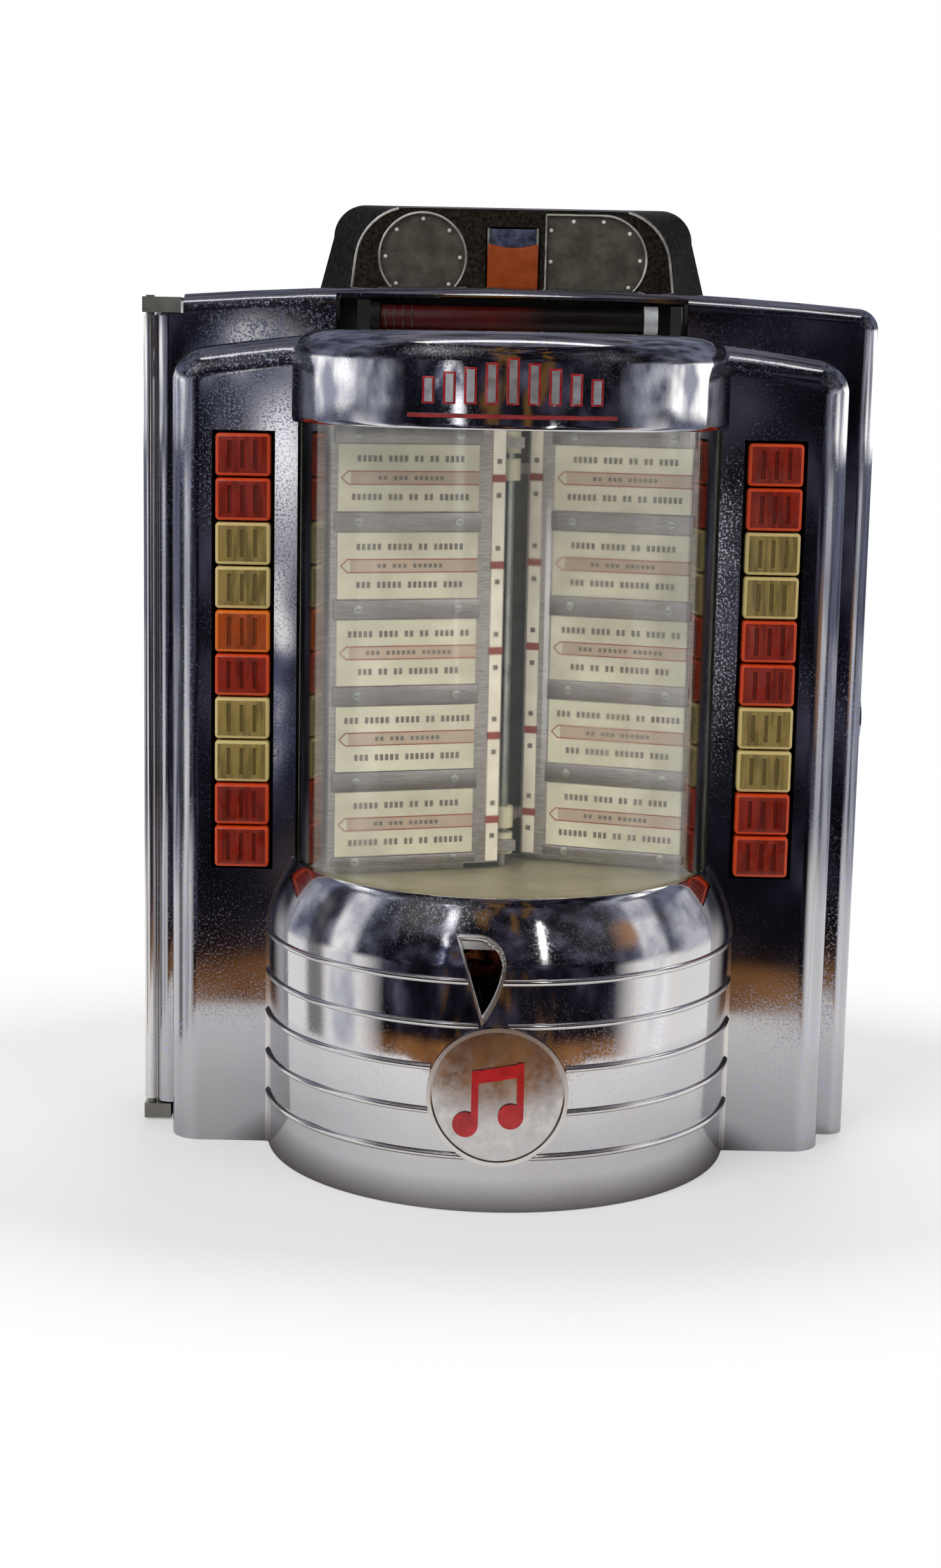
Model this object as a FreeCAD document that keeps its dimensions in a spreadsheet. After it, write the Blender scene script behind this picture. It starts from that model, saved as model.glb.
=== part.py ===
import FreeCAD, Part
import math
import os
import Sketcher
from FreeCAD import Placement, Rotation, Vector

# Jukebox wall box selector, in millimetres.
# X runs to the right, Y to the back and Z up. The origin is the middle of the base:
# y = 0 is the front face of the button panel and z = 0 is the plane that the box stands on.

DRIVING_SIZES = {
    # front cover, a chrome casting in two steps
    "wall": 2.5,
    "hinge_side": 131.0,
    "lock_side": 134.0,
    "cover_rear": 45.0,
    "outer_front": 22.0,
    "outer_crown": 317.0,
    "outer_arch": 1515.0,
    "outer_corner": 8.0,
    "outer_edge": 6.5,
    "inner_half": 122.0,
    "inner_crown": 302.0,
    "inner_arch": 722.0,
    "inner_corner": 13.0,
    "inner_edge": 11.0,
    "slot_half": 64.0,
    "slot_floor": 290.0,
    "slot_ceiling": 313.7,
    # hinge
    "hinge_out": 132.0,
    "hinge_back": 25.5,
    "barrel_radius": 2.6,
    "pin_radius": 1.6,
    "pin_fit": 0.05,
    "ear_low_inner": 124.5,
    "ear_high_inner": 120.5,
    "ear_low_top": 6.5,
    "ear_high_top": 311.0,
    "pin_reach": 14.0,
    "pin_head": 0.6,
    "ear_reach": 72.0,
    "ear_gap": 1.0,
    # back box
    "box_rear": 76.2,
    "box_top": 305.4,
    "box_wall": 1.6,
    "box_inset": 0.5,
    "door_gap": 0.3,
    "mount_hole_radius": 3.25,
    "mount_half_width": 90.0,
    "mount_low": 100.0,
    "mount_high": 288.0,
    # drum, window and cap share one axis
    "round_back": 12.0,
    "drum_radius": 86.0,
    "drum_straight": 86.0,
    "drum_top": 109.0,
    "rib_radius": 1.2,
    "rib_low": 20.0,
    "rib_pitch": 15.5,
    "rib_count": 5,
    "window_radius": 75.5,
    "window_wall": 2.0,
    "window_top": 284.0,
    "cap_radius": 79.0,
    "cap_floor": 267.6,
    "cap_top": 300.0,
    "cap_roll": 10.0,
    "bar_count": 9,
    "bar_pitch": 7.0,
    "bar_half": 1.3,
    "bar_tall": 14.0,
    "bar_step": 1.6,
    "bar_foot": 9.0,
    "shelf": 100.0,
    "shelf_thick": 2.0,
    "seat_gap": 0.2,
    "screw_radius": 1.2,
    "screw_head": 1.9,
    "screw_rows": 4,
    "screw_margin": 10.0,
    "flange_reach": 4.1,
    # badges on the drum
    "medal_radius": 24.5,
    "medal_height": 42.0,
    "medal_proud": 1.2,
    "rim_proud": 2.2,
    "rim_width": 1.4,
    "note_half": 9.0,
    "note_stem": 2.4,
    "note_head": 4.4,
    "note_low": 10.0,
    "note_high": 9.0,
    "note_rise": 3.2,
    "note_beam": 4.6,
    "drop_right": 2.0,
    "drop_tip": -6.0,
    "drop_left": -15.0,
    "drop_floor": 67.0,
    "drop_top": 98.0,
    "drop_shoulder": 10.0,
    "drop_rim": 1.2,
    # push buttons
    "button_count": 10,
    "button_beside": 17.3,
    "button_width": 19.7,
    "button_pitch": 15.85,
    "button_slit": 0.7,
    "button_low": 105.0,
    "button_proud": 2.5,
    "button_deep": 5.5,
    "button_edge": 1.2,
    "button_travel": 3.5,
    "button_fit": 1.5,
    "stem_width": 8.0,
    "stem_tall": 6.0,
    "stem_length": 20.2,
    "stem_fit": 0.3,
    "button_space": 9.0,
    "sheet": 1.5,
    "blade_thick": 0.4,
    "blade_tall": 5.0,
    "blade_reach": 4.8,
    # pages
    "spine_out": 0.5,
    "spine_back": 30.0,
    "spine_radius": 2.0,
    "spine_top": 271.5,
    "page_tilt": 18.0,
    "leaf_near": 4.0,
    "leaf_far": 70.0,
    "leaf_floor": 104.5,
    "leaf_top": 267.0,
    "leaf_thick": 2.0,
    "left_face": 7.6,
    "right_face": 10.7,
    "bush_radius": 4.0,
    "bush_tall": 8.0,
    "bush_gap": 2.0,
    "arm_half": 3.0,
    "arm_inset": 2.0,
    "board_gap": 2.6,
    "board_near": 16.0,
    "board_far": 74.0,
    "card_near": 14.5,
    "card_far": 67.5,
    "card_tall": 24.0,
    "card_pitch": 31.75,
    "card_count": 5,
    "card_low": 121.0,
    "card_proud": 0.4,
    "tab_near": 56.5,
    "tab_far": 60.5,
    "tab_top": 311.0,
    "tray_half": 78.0,
    "tray_rear": 48.5,
    "tray_top": 290.0,
    # signal lamp
    "lamp_back": 27.0,
    "lamp_height": 305.0,
    "lamp_radius": 5.0,
    "lamp_half": 48.0,
    "holder_thick": 5.0,
    # coin head
    "head_front": 47.0,
    "head_shoulder": 58.0,
    "head_rear": 76.0,
    "head_top": 347.0,
    "head_foot_half": 75.0,
    "head_top_half": 64.0,
    "head_corner": 12.0,
    "face_foot_half": 62.0,
    "face_top_half": 57.0,
    "face_corner": 22.0,
    "window_out": 33.5,
    "window_height": 328.0,
    "round_window": 16.2,
    "window_sunk": 1.2,
    "coin_slot_long": 28.0,
    "coin_slot_thick": 3.2,
    "key_half": 9.7,
    "key_floor": 311.5,
    "key_top": 339.0,
    "key_fit": 0.4,
    "key_margin": 2.4,
    "key_front": 45.6,
    "key_deep": 6.0,
    "key_rod_radius": 2.0,
    "spring_closed": 3.9,
    "key_travel": 4.0,
    "lever_pivot": 298.0,
    "lever_radius": 1.5,
    "lever_boss": 3.6,
    "lever_tail": 14.0,
    "lever_contact": 322.0,
    # coin mechanism, transmitter and cash box
    "mech_left": -78.0,
    "mech_right": 12.0,
    "mech_floor": 190.0,
    "mech_front": 56.0,
    "rail_count": 4,
    "rail_low": 12.0,
    "rail_pitch": 22.0,
    "rail_end": 4.0,
    "rail_short": 32.0,
    "mech_post_inset": 10.0,
    "chute_right": 30.0,
    "gear_out": 72.0,
    "gear_height": 232.0,
    "gear_pitch_radius": 30.0,
    "gear_teeth": 48,
    "pinion_teeth": 12,
    "tooth_gap": 0.15,
    "gear_thick": 3.0,
    "shaft_radius": 3.0,
    "shaft_reach": 3.75,
    "disc_radius": 38.0,
    "stud_inset": 4.0,
    "stud_radius": 1.2,
    "plate_front": 56.5,
    "motor_radius": 19.0,
    "motor_post": 2.0,
    "cash_left": -116.0,
    "cash_right": -14.0,
    "cash_top": 78.0,
    "strip_left": 38.0,
    "strip_right": 118.0,
    "strip_low": 68.0,
    "strip_tall": 16.0,
    "strip_deep": 9.0,
    "strip_ways": 8,
    "inlet_out": 100.0,
    "inlet_height": 38.0,
    "inlet_radius": 6.0,
    # lock
    "lock_back": 36.5,
    "lock_height": 160.0,
    "lock_radius": 7.5,
    "lock_flange": 8.3,
    "lock_long": 15.0,
    "keyway_deep": 8.0,
    "plug_radius": 5.0,
    "cam_reach": 24.0,
    "cam_half": 5.0,
    "strike_reach": 17.5,
    "strike_radius": 2.0,
}

doc = FreeCAD.newDocument("WallBoxSelector")
sheet = doc.addObject("Spreadsheet::Sheet", "sizes")


class Size:
    """A number together with the sheet formula that gives it."""

    def __init__(self, number, formula):
        self.number = float(number)
        self.formula = formula

    def __add__(self, other):
        other = as_size(other)
        return Size(self.number + other.number, f"({self.formula} + {other.formula})")

    def __radd__(self, other):
        return as_size(other) + self

    def __sub__(self, other):
        other = as_size(other)
        return Size(self.number - other.number, f"({self.formula} - {other.formula})")

    def __rsub__(self, other):
        return as_size(other) - self

    def __mul__(self, other):
        other = as_size(other)
        return Size(self.number * other.number, f"({self.formula} * {other.formula})")

    def __rmul__(self, other):
        return as_size(other) * self

    def __truediv__(self, other):
        other = as_size(other)
        return Size(self.number / other.number, f"({self.formula} / {other.formula})")

    def __rtruediv__(self, other):
        return as_size(other) / self

    def __neg__(self):
        return Size(-self.number, f"(0 - {self.formula})")


def as_size(value):
    """A plain number becomes a size whose formula is that number."""
    return value if isinstance(value, Size) else Size(value, f"({value})")


def root(value):
    return Size(math.sqrt(value.number), f"sqrt({value.formula})")


class Sizes:
    """Every driving size by its name, such as S.wall."""


S = Sizes()
for row, (alias, number) in enumerate(DRIVING_SIZES.items(), start=1):
    sheet.set(f"A{row}", alias)
    sheet.set(f"B{row}", str(number))
    sheet.setAlias(f"B{row}", alias)
    setattr(S, alias, Size(number, f"sizes.{alias}"))
S.button_out = S.tray_half + S.button_beside    # the buttons stand beside the tray
doc.recompute()

FRONT = (1, 0, 0), -90      # turns +Z to +Y
SIDE = (0, 1, 0), 90        # turns +Z to +X
BEYOND = 1                  # how far a cutting tool runs past what it cuts

subparts = []


# ---------------------------------------------------------------- helpers

def bind(thing, name, value):
    """Sets a property to a number, or ties it to the sheet."""
    if isinstance(value, Size):
        thing.setExpression(name, value.formula)
    else:
        setattr(thing, name, value)


def put(thing, at, turn=None):
    """Places an object at three sizes, turned about an axis where that is given."""
    axis, angle = turn if turn else ((0, 0, 1), 0)
    numbers = [as_size(part).number for part in at]
    thing.Placement = Placement(Vector(*numbers), Rotation(Vector(*axis), as_size(angle).number))
    for letter, part in zip("xyz", at):
        if isinstance(part, Size):
            thing.setExpression(f"Placement.Base.{letter}", part.formula)
    if isinstance(angle, Size):
        thing.setExpression("Placement.Rotation.Angle", angle.formula)
    return thing


def block(name, low, high):
    """A box between its lowest and its highest corner."""
    thing = doc.addObject("Part::Box", name)
    for side, start, end in zip(("Length", "Width", "Height"), low, high):
        bind(thing, side, as_size(end) - start)
    return put(thing, low)


def rod(name, radius, at, length, turn=None):
    """A cylinder from a point along +Z, or along the turned axis."""
    thing = doc.addObject("Part::Cylinder", name)
    bind(thing, "Radius", radius)
    bind(thing, "Height", as_size(length))
    return put(thing, at, turn)


def join(name, *pieces):
    thing = doc.addObject("Part::MultiFuse", name)
    thing.Shapes = list(pieces)
    thing.Refine = True
    return thing


def cut(name, base, *tools):
    thing = doc.addObject("Part::Cut", name)
    thing.Base = base
    thing.Tool = tools[0] if len(tools) == 1 else join(name + "_tools", *tools)
    thing.Refine = True
    return thing


def common(name, *pieces):
    thing = doc.addObject("Part::MultiCommon", name)
    thing.Shapes = list(pieces)
    thing.Refine = True
    return thing


def group(name, *pieces):
    """Separate solids that share one node."""
    thing = doc.addObject("Part::Compound", name)
    thing.Links = list(pieces)
    return thing


def keep(thing, node):
    """Names a finished sub-part after its node."""
    thing.Label = node
    subparts.append(thing)
    return thing


def origin_plane(body, role):
    return next(plane for plane in body.Origin.OriginFeatures if plane.Role == role)


def new_sketch(body, name, role, offset=0):
    sketch = body.newObject("Sketcher::SketchObject", name)
    sketch.AttachmentSupport = [(origin_plane(body, role), "")]
    sketch.MapMode = "FlatFace"
    offset = as_size(offset)
    sketch.AttachmentOffset = Placement(Vector(0, 0, offset.number), Rotation())
    sketch.setExpression("AttachmentOffset.Base.z", offset.formula)
    return sketch


def dimension(sketch, kind, value, *geometry):
    index = sketch.addConstraint(Sketcher.Constraint(kind, *geometry, as_size(value).number))
    sketch.setExpression(f"Constraints[{index}]", as_size(value).formula)


def pin_point(sketch, edge, end, point):
    """Holds one end of an edge at its distances from the sketch's origin."""
    dimension(sketch, "DistanceX", point[0], -1, 1, edge, end)
    dimension(sketch, "DistanceY", point[1], -1, 1, edge, end)


def arc_middle(start, end, radius):
    """The middle of the arc to the right of the line from start to end; a negative radius is to the left."""
    chord = end - start
    half = chord.Length / 2
    rise = abs(radius) - math.sqrt(max(radius * radius - half * half, 0))
    aside = Vector(chord.y, -chord.x, 0).normalize() * math.copysign(rise, radius)
    return (start + end) / 2 + aside


def outline(sketch, steps):
    """A closed outline of points (x, y). A third size is the radius of the arc that leads to the point.

    A sketch counts an arc's ends anticlockwise, so a clockwise arc starts at its second end.
    """
    points = [Vector(as_size(step[0]).number, as_size(step[1]).number, 0) for step in steps]
    first = len(sketch.Geometry)
    ends = []
    for index, step in enumerate(steps):
        start, end = points[index - 1], points[index]
        clockwise = False
        if len(step) == 3:
            radius = as_size(step[2]).number
            clockwise = radius < 0
            edge = sketch.addGeometry(Part.Arc(start, arc_middle(start, end, radius), end), False)
        else:
            edge = sketch.addGeometry(Part.LineSegment(start, end), False)
        ends.append((2, 1) if clockwise else (1, 2))
    for index, step in enumerate(steps):
        edge = first + index
        before = first + (index - 1) % len(steps)
        sketch.addConstraint(Sketcher.Constraint(
            "Coincident", before, ends[index - 1][1], edge, ends[index][0]))
        pin_point(sketch, edge, ends[index][1], step)
        if len(step) == 3:
            radius = as_size(step[2])
            dimension(sketch, "Radius", radius if radius.number > 0 else -radius, edge)
    return sketch


def ring(sketch, centre, radius):
    edge = sketch.addGeometry(Part.Circle(
        Vector(as_size(centre[0]).number, as_size(centre[1]).number, 0), Vector(0, 0, 1),
        as_size(radius).number), False)
    pin_point(sketch, edge, 3, centre)
    dimension(sketch, "Radius", radius, edge)
    return sketch


def new_body(name, at=(0, 0, 0), turn=None):
    return put(doc.addObject("PartDesign::Body", name), at, turn)


def pad(body, name, sketch, length, backwards=False):
    feature = body.newObject("PartDesign::Pad", name)
    feature.Profile = sketch
    bind(feature, "Length", length)
    feature.Reversed = backwards
    doc.recompute()
    return feature


def revolve(body, name, sketch):
    """Turns a profile fully about the sketch's vertical axis."""
    feature = body.newObject("PartDesign::Revolution", name)
    feature.Profile = sketch
    feature.ReferenceAxis = (sketch, ["V_Axis"])
    feature.Angle = 360
    doc.recompute()
    return feature


def edges_where(feature, test):
    """The names of the edges whose two ends pass the test together."""
    return [f"Edge{number}" for number, edge in enumerate(feature.Shape.Edges, start=1)
            if test([corner.Point for corner in edge.Vertexes])]


def round_edges(body, name, feature, test, radius):
    fillet = body.newObject("PartDesign::Fillet", name)
    fillet.Base = (feature, edges_where(feature, test))
    bind(fillet, "Radius", radius)
    doc.recompute()
    return fillet


def near(number, size):
    return abs(number - as_size(size).number) < 0.01


# ---------------------------------------------------------------- shared places

PANEL_BACK = S.wall
RIB_COUNT = int(DRIVING_SIZES["rib_count"])
BUTTON_COUNT = int(DRIVING_SIZES["button_count"])
CARD_COUNT = int(DRIVING_SIZES["card_count"])
BUTTON_HIGH = S.button_low + S.button_pitch * S.button_count
RIM_FRONT = S.round_back - S.drum_radius
FRAME_BACK = S.button_deep + S.button_travel + S.button_space
GUIDE_FRONT = S.key_front + S.key_deep + S.key_travel + S.spring_closed
HEAD_WALL_BACK = S.head_front + S.wall
BOX_BACK_INSIDE = S.box_rear - S.box_wall
SLOT_MIDDLE = (S.head_front + S.box_rear) / 2


def arch_height(crown, arch, out):
    """The height of an arched top at a distance from the middle."""
    return crown - arch + root(arch * arch - out * out)


# ---------------------------------------------------------------- front cover

def arched_block(name, left, right, floor, crown, arch, front, rear, corner, edge):
    """A block with an arched top, rounded upper corners and rounded front edges."""
    body = new_body(name)
    sketch = new_sketch(body, name + "_outline", "XZ_Plane", -as_size(rear))
    outline(sketch, [
        (-left, floor),
        (right, floor),
        (right, arch_height(crown, arch, right)),
        (-left, arch_height(crown, arch, left), arch)])
    solid = pad(body, name + "_pad", sketch, rear - front)
    middle = (as_size(floor) + crown).number / 2
    corners = round_edges(
        body, name + "_corners", solid,
        lambda ends: all(p.z > middle for p in ends) and near(ends[0].x, ends[1].x), corner)
    round_edges(
        body, name + "_edges", corners,
        lambda ends: all(near(p.y, front) for p in ends) and not all(near(p.z, floor) for p in ends),
        edge)
    return body


def stepped_block(name, inset, rear_reach):
    """The two steps of the cover, drawn in by the same inset all round."""
    outer = arched_block(
        name + "_outer", S.hinge_side - inset, S.lock_side - inset, inset, S.outer_crown - inset,
        S.outer_arch - inset, S.outer_front + inset, S.cover_rear + rear_reach,
        S.outer_corner - inset, S.outer_edge - inset)
    inner = arched_block(
        name + "_inner", S.inner_half - inset, S.inner_half - inset, inset, S.inner_crown - inset,
        S.inner_arch - inset, as_size(inset), S.cover_rear - S.wall,
        S.inner_corner - inset, S.inner_edge - inset)
    return join(name, outer, inner)


def front_cover():
    shell = cut("cover_shell", stepped_block("cover_solid", as_size(0), as_size(0)),
                stepped_block("cover_hollow", S.wall, as_size(BEYOND)))
    openings = [
        block("cover_window_opening",
              (-(S.window_radius + S.door_gap), -BEYOND, S.shelf - S.seat_gap),
              (S.window_radius + S.door_gap, S.wall + BEYOND, S.inner_crown + BEYOND)),
        block("cover_finger_opening",
              (-(S.cap_radius - S.cap_roll), -BEYOND, S.slot_floor),
              (S.cap_radius - S.cap_roll, S.outer_front + BEYOND, S.inner_crown + BEYOND)),
        block("cover_top_slot",
              (-S.slot_half, S.outer_front - BEYOND, S.slot_floor),
              (S.slot_half, S.outer_front + S.wall + BEYOND, S.slot_ceiling)),
        rod("cover_barrel_groove", S.barrel_radius, (-S.hinge_out, S.hinge_back, -BEYOND),
            S.outer_crown + BEYOND),
        block("cover_low_notch",
              (-(S.hinge_side + BEYOND), S.outer_front - BEYOND, -BEYOND),
              (-(S.ear_low_inner - S.ear_gap), S.cover_rear + BEYOND, S.ear_low_top + S.ear_gap)),
        block("cover_high_notch",
              (-(S.hinge_side + BEYOND), S.outer_front - BEYOND, S.box_top - S.door_gap),
              (-(S.ear_high_inner - S.ear_gap), S.cover_rear + BEYOND, S.outer_crown)),
        rod("cover_lock_hole", S.lock_radius + S.door_gap,
            (S.lock_side - S.wall - BEYOND, S.lock_back, S.lock_height),
            S.wall + 2 * BEYOND, SIDE),
    ]
    for side, sign in (("left", -1), ("right", 1)):
        half = (S.button_width + 2 * S.button_fit) / 2
        openings.append(block(
            f"cover_{side}_button_opening",
            (S.button_out * sign - half, -BEYOND, S.button_low - S.button_slit),
            (S.button_out * sign + half, S.wall + BEYOND, BUTTON_HIGH + S.button_slit)))
    for index, (x, z) in enumerate(cover_screw_places()):
        openings.append(rod(f"cover_screw_hole_{index}", S.screw_radius + S.pin_fit,
                            (x, S.wall / 3, z), S.wall, FRONT))
    return keep(cut("front_cover", shell, *openings), "front_cover")


def cover_screw_places():
    """The tray's screws: four up each side, with their heads just outside its walls."""
    out = S.tray_half + S.screw_head + S.door_gap
    rows = int(DRIVING_SIZES["screw_rows"])
    step = (S.tray_top - S.shelf - S.screw_margin * 2) / (rows - 1)
    return [(out * sign, S.shelf + S.screw_margin + step * index)
            for sign in (-1, 1) for index in range(rows)]


def hinge_barrel():
    low = S.ear_low_top + S.ear_gap * 2
    high = S.box_top - S.ear_gap
    outside = rod("barrel_outside", S.barrel_radius, (-S.hinge_out, S.hinge_back, low), high - low)
    bore = rod("barrel_bore", S.pin_radius + S.pin_fit,
               (-S.hinge_out, S.hinge_back, low - BEYOND), high - low + 2 * BEYOND)
    return keep(cut("hinge_barrel", outside, bore), "hinge_barrel")


# ---------------------------------------------------------------- drum, window and cap

def front_half(name, body):
    """Keeps what stands in front of the button panel."""
    reach = S.drum_radius * 2
    return cut(name, body, block(name + "_behind", (-reach, 0, -BEYOND), (reach, reach, S.head_top)))


def around_axis(name, offset, radius, low, high):
    """A cylinder about the upright axis that the drum, window and cap share."""
    return rod(name, radius + offset, (0, S.round_back, low), high - low)


def neck_radius():
    """The drum's outer radius at its top, where it holds the window."""
    return S.window_radius + S.seat_gap + S.wall / 2


def lower_drum():
    body = new_body("drum_turned", (0, S.round_back, 0))
    sketch = new_sketch(body, "drum_profile", "XZ_Plane")
    rim = S.window_radius + S.seat_gap
    neck = neck_radius()
    ledge = rim - S.wall
    ledge_floor = S.shelf - S.wall
    slope = (S.drum_radius - neck) / (S.drum_top - S.drum_straight)
    inside_neck = S.drum_radius - slope * (ledge_floor - S.drum_straight) - S.wall
    outline(sketch, [
        (0, 0),
        (S.drum_radius, 0),
        (S.drum_radius, S.drum_straight),
        (neck, S.drum_top),
        (rim, S.drum_top),
        (rim, S.shelf),
        (ledge, S.shelf),
        (ledge, ledge_floor),
        (inside_neck, ledge_floor),
        (S.drum_radius - S.wall, S.drum_straight),
        (S.drum_radius - S.wall, S.wall),
        (0, S.wall)])
    revolve(body, "drum_revolution", sketch)
    ribs = []
    for index in range(RIB_COUNT):
        rib = doc.addObject("Part::Torus", f"drum_rib_{index}")
        bind(rib, "Radius1", S.drum_radius)
        bind(rib, "Radius2", S.rib_radius)
        ribs.append(put(rib, (0, S.round_back, S.rib_low + S.rib_pitch * index)))
    seat = rod("drum_medal_seat", S.medal_radius + S.seat_gap,
               (0, RIM_FRONT - S.wall, S.medal_height), S.drum_radius, FRONT)
    ribs_cut = cut("drum_ribs", join("drum_rib_set", *ribs), seat,
                   drop_prism("drum_drop_seat", S.seat_gap))
    return keep(front_half("lower_drum", join("drum_ribbed", body, ribs_cut)), "lower_drum")


def drop_prism(name, offset):
    """The slanted drop as a prism through the front of the drum."""
    body = new_body(name)
    sketch = new_sketch(body, name + "_outline", "XZ_Plane", S.drum_radius / 2)
    right = S.drop_right + offset
    shoulder = S.drop_top - (S.drop_top - S.drop_floor) / 3
    outline(sketch, [
        (S.drop_left - offset, S.drop_top + offset),
        (S.drop_tip, S.drop_floor - offset * 3),
        (right, shoulder, (S.drop_top - S.drop_floor) * 1.3),
        (right - S.drop_shoulder, S.drop_top + offset, S.drop_shoulder)])
    pad(body, name + "_pad", sketch, S.drum_radius / 2)
    return body


def drum_badge(name, prism, proud, low):
    """A badge that follows the drum's side and shoulder and stands proud of them."""
    skin = new_body(name + "_skin", (0, S.round_back, 0))
    sketch = new_sketch(skin, name + "_profile", "XZ_Plane")
    outline(sketch, [
        (S.drum_radius + S.pin_fit, low),
        (S.drum_radius + proud, low),
        (S.drum_radius + proud, S.drum_straight),
        (neck_radius() + proud, S.drum_top),
        (neck_radius() + S.pin_fit, S.drum_top),
        (S.drum_radius + S.pin_fit, S.drum_straight)])
    revolve(skin, name + "_revolution", sketch)
    return common(name + "_body", skin, prism)


def medal_prism(name, radius):
    return rod(name, radius, (0, RIM_FRONT - S.wall * 2, S.medal_height), S.drum_radius / 2, FRONT)


def note_prism():
    """Two joined quavers, drawn from rods and bars."""
    front = RIM_FRONT - S.wall * 2
    deep = S.drum_radius / 2
    low = S.medal_height - S.note_low
    high = S.medal_height + S.note_high
    pieces = []
    for side, right, lift in (("left", S.note_stem - S.note_half, 0), ("right", S.note_half, S.note_rise)):
        pieces.append(rod(f"note_{side}_head", S.note_head, (right - S.note_head, front, low + lift),
                          deep, FRONT))
        pieces.append(block(f"note_{side}_stem", (right - S.note_stem, front, low + lift),
                            (right, front + deep, high + lift)))
    beam = new_body("note_beam")
    sketch = new_sketch(beam, "note_beam_outline", "XZ_Plane", -front)
    outline(sketch, [
        (-S.note_half, high - S.note_beam),
        (S.note_half, high + S.note_rise - S.note_beam),
        (S.note_half, high + S.note_rise),
        (-S.note_half, high)])
    pad(beam, "note_beam_pad", sketch, deep, True)
    return join("note_prism", beam, *pieces)


def medallion():
    low = S.medal_height - S.medal_radius - BEYOND
    plate = drum_badge("medal_plate", medal_prism("medal_plate_prism", S.medal_radius),
                       S.medal_proud, low)
    rim_prism = cut("medal_rim_prism", medal_prism("medal_rim_outside", S.medal_radius),
                    medal_prism("medal_rim_inside", S.medal_radius - S.rim_width))
    rim = drum_badge("medal_rim", rim_prism, S.rim_proud, low)
    note = drum_badge("medal_note", note_prism(), S.rim_proud - S.pin_fit, low)
    return keep(join("medallion", plate, rim, note), "medallion")


def teardrop_badge():
    low = S.drop_floor - S.wall
    plate = drum_badge("drop_plate", drop_prism("drop_plate_prism", as_size(0)), S.medal_proud / 2, low)
    rim_prism = cut("drop_rim_prism", drop_prism("drop_rim_outside", as_size(0)),
                    drop_prism("drop_rim_inside", -S.drop_rim))
    rim = drum_badge("drop_rim", rim_prism, S.rim_proud - S.pin_fit, low)
    return keep(join("teardrop_badge", plate, rim), "teardrop_badge")


def page_window():
    body = new_body("window_turned", (0, S.round_back, 0))
    sketch = new_sketch(body, "window_profile", "XZ_Plane")
    inside = S.window_radius - S.window_wall
    low = S.shelf + S.shelf_thick
    outline(sketch, [(inside, low), (S.window_radius, low),
                     (S.window_radius, S.window_top), (inside, S.window_top)])
    revolve(body, "window_revolution", sketch)
    reach = S.drum_radius * 2
    behind = block("window_behind", (-reach, PANEL_BACK, 0), (reach, reach, S.head_top))
    return keep(cut("page_window", body, behind), "page_window")


def top_cap():
    body = new_body("cap_turned", (0, S.round_back, 0))
    sketch = new_sketch(body, "cap_profile", "XZ_Plane")
    inside = S.cap_radius - S.wall
    outline(sketch, [
        (inside, S.cap_floor),
        (S.cap_radius, S.cap_floor),
        (S.cap_radius, S.cap_top - S.cap_roll),
        (S.cap_radius - S.cap_roll, S.cap_top, S.cap_roll),
        (S.cap_radius - S.cap_roll, S.cap_top - S.wall),
        (inside, S.cap_top - S.cap_roll, -(S.cap_roll - S.wall))])
    revolve(body, "cap_revolution", sketch)
    return keep(front_half("top_cap", body), "top_cap")


def cap_ornament():
    """Raised upright bars over a long thin line, in a stepped pattern."""
    front = S.round_back - S.cap_radius - S.wall
    count = int(DRIVING_SIZES["bar_count"])
    foot = S.cap_floor + S.bar_foot
    bars = []
    for index in range(count):
        place = index - (count - 1) / 2
        tall = S.bar_tall - S.bar_step * abs(place)
        bars.append(block(f"ornament_bar_{index}",
                          (S.bar_pitch * place - S.bar_half, front, foot),
                          (S.bar_pitch * place + S.bar_half, S.round_back, foot + tall)))
    reach = S.bar_pitch * (count + 1) / 2
    line_low = foot - S.bar_half * 4
    bars.append(block("ornament_line", (-reach, front, line_low),
                      (reach, S.round_back, line_low + S.bar_half)))
    skin = cut("ornament_skin",
               around_axis("ornament_over", S.medal_proud, S.cap_radius, S.cap_floor, S.cap_top),
               around_axis("ornament_under", S.pin_fit, S.cap_radius,
                           S.cap_floor - BEYOND, S.cap_top + BEYOND))
    pieces = [common(f"ornament_piece_{index}", skin, bar) for index, bar in enumerate(bars)]
    return keep(group("cap_ornament", *pieces), "cap_ornament")


# ---------------------------------------------------------------- pages

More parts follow.
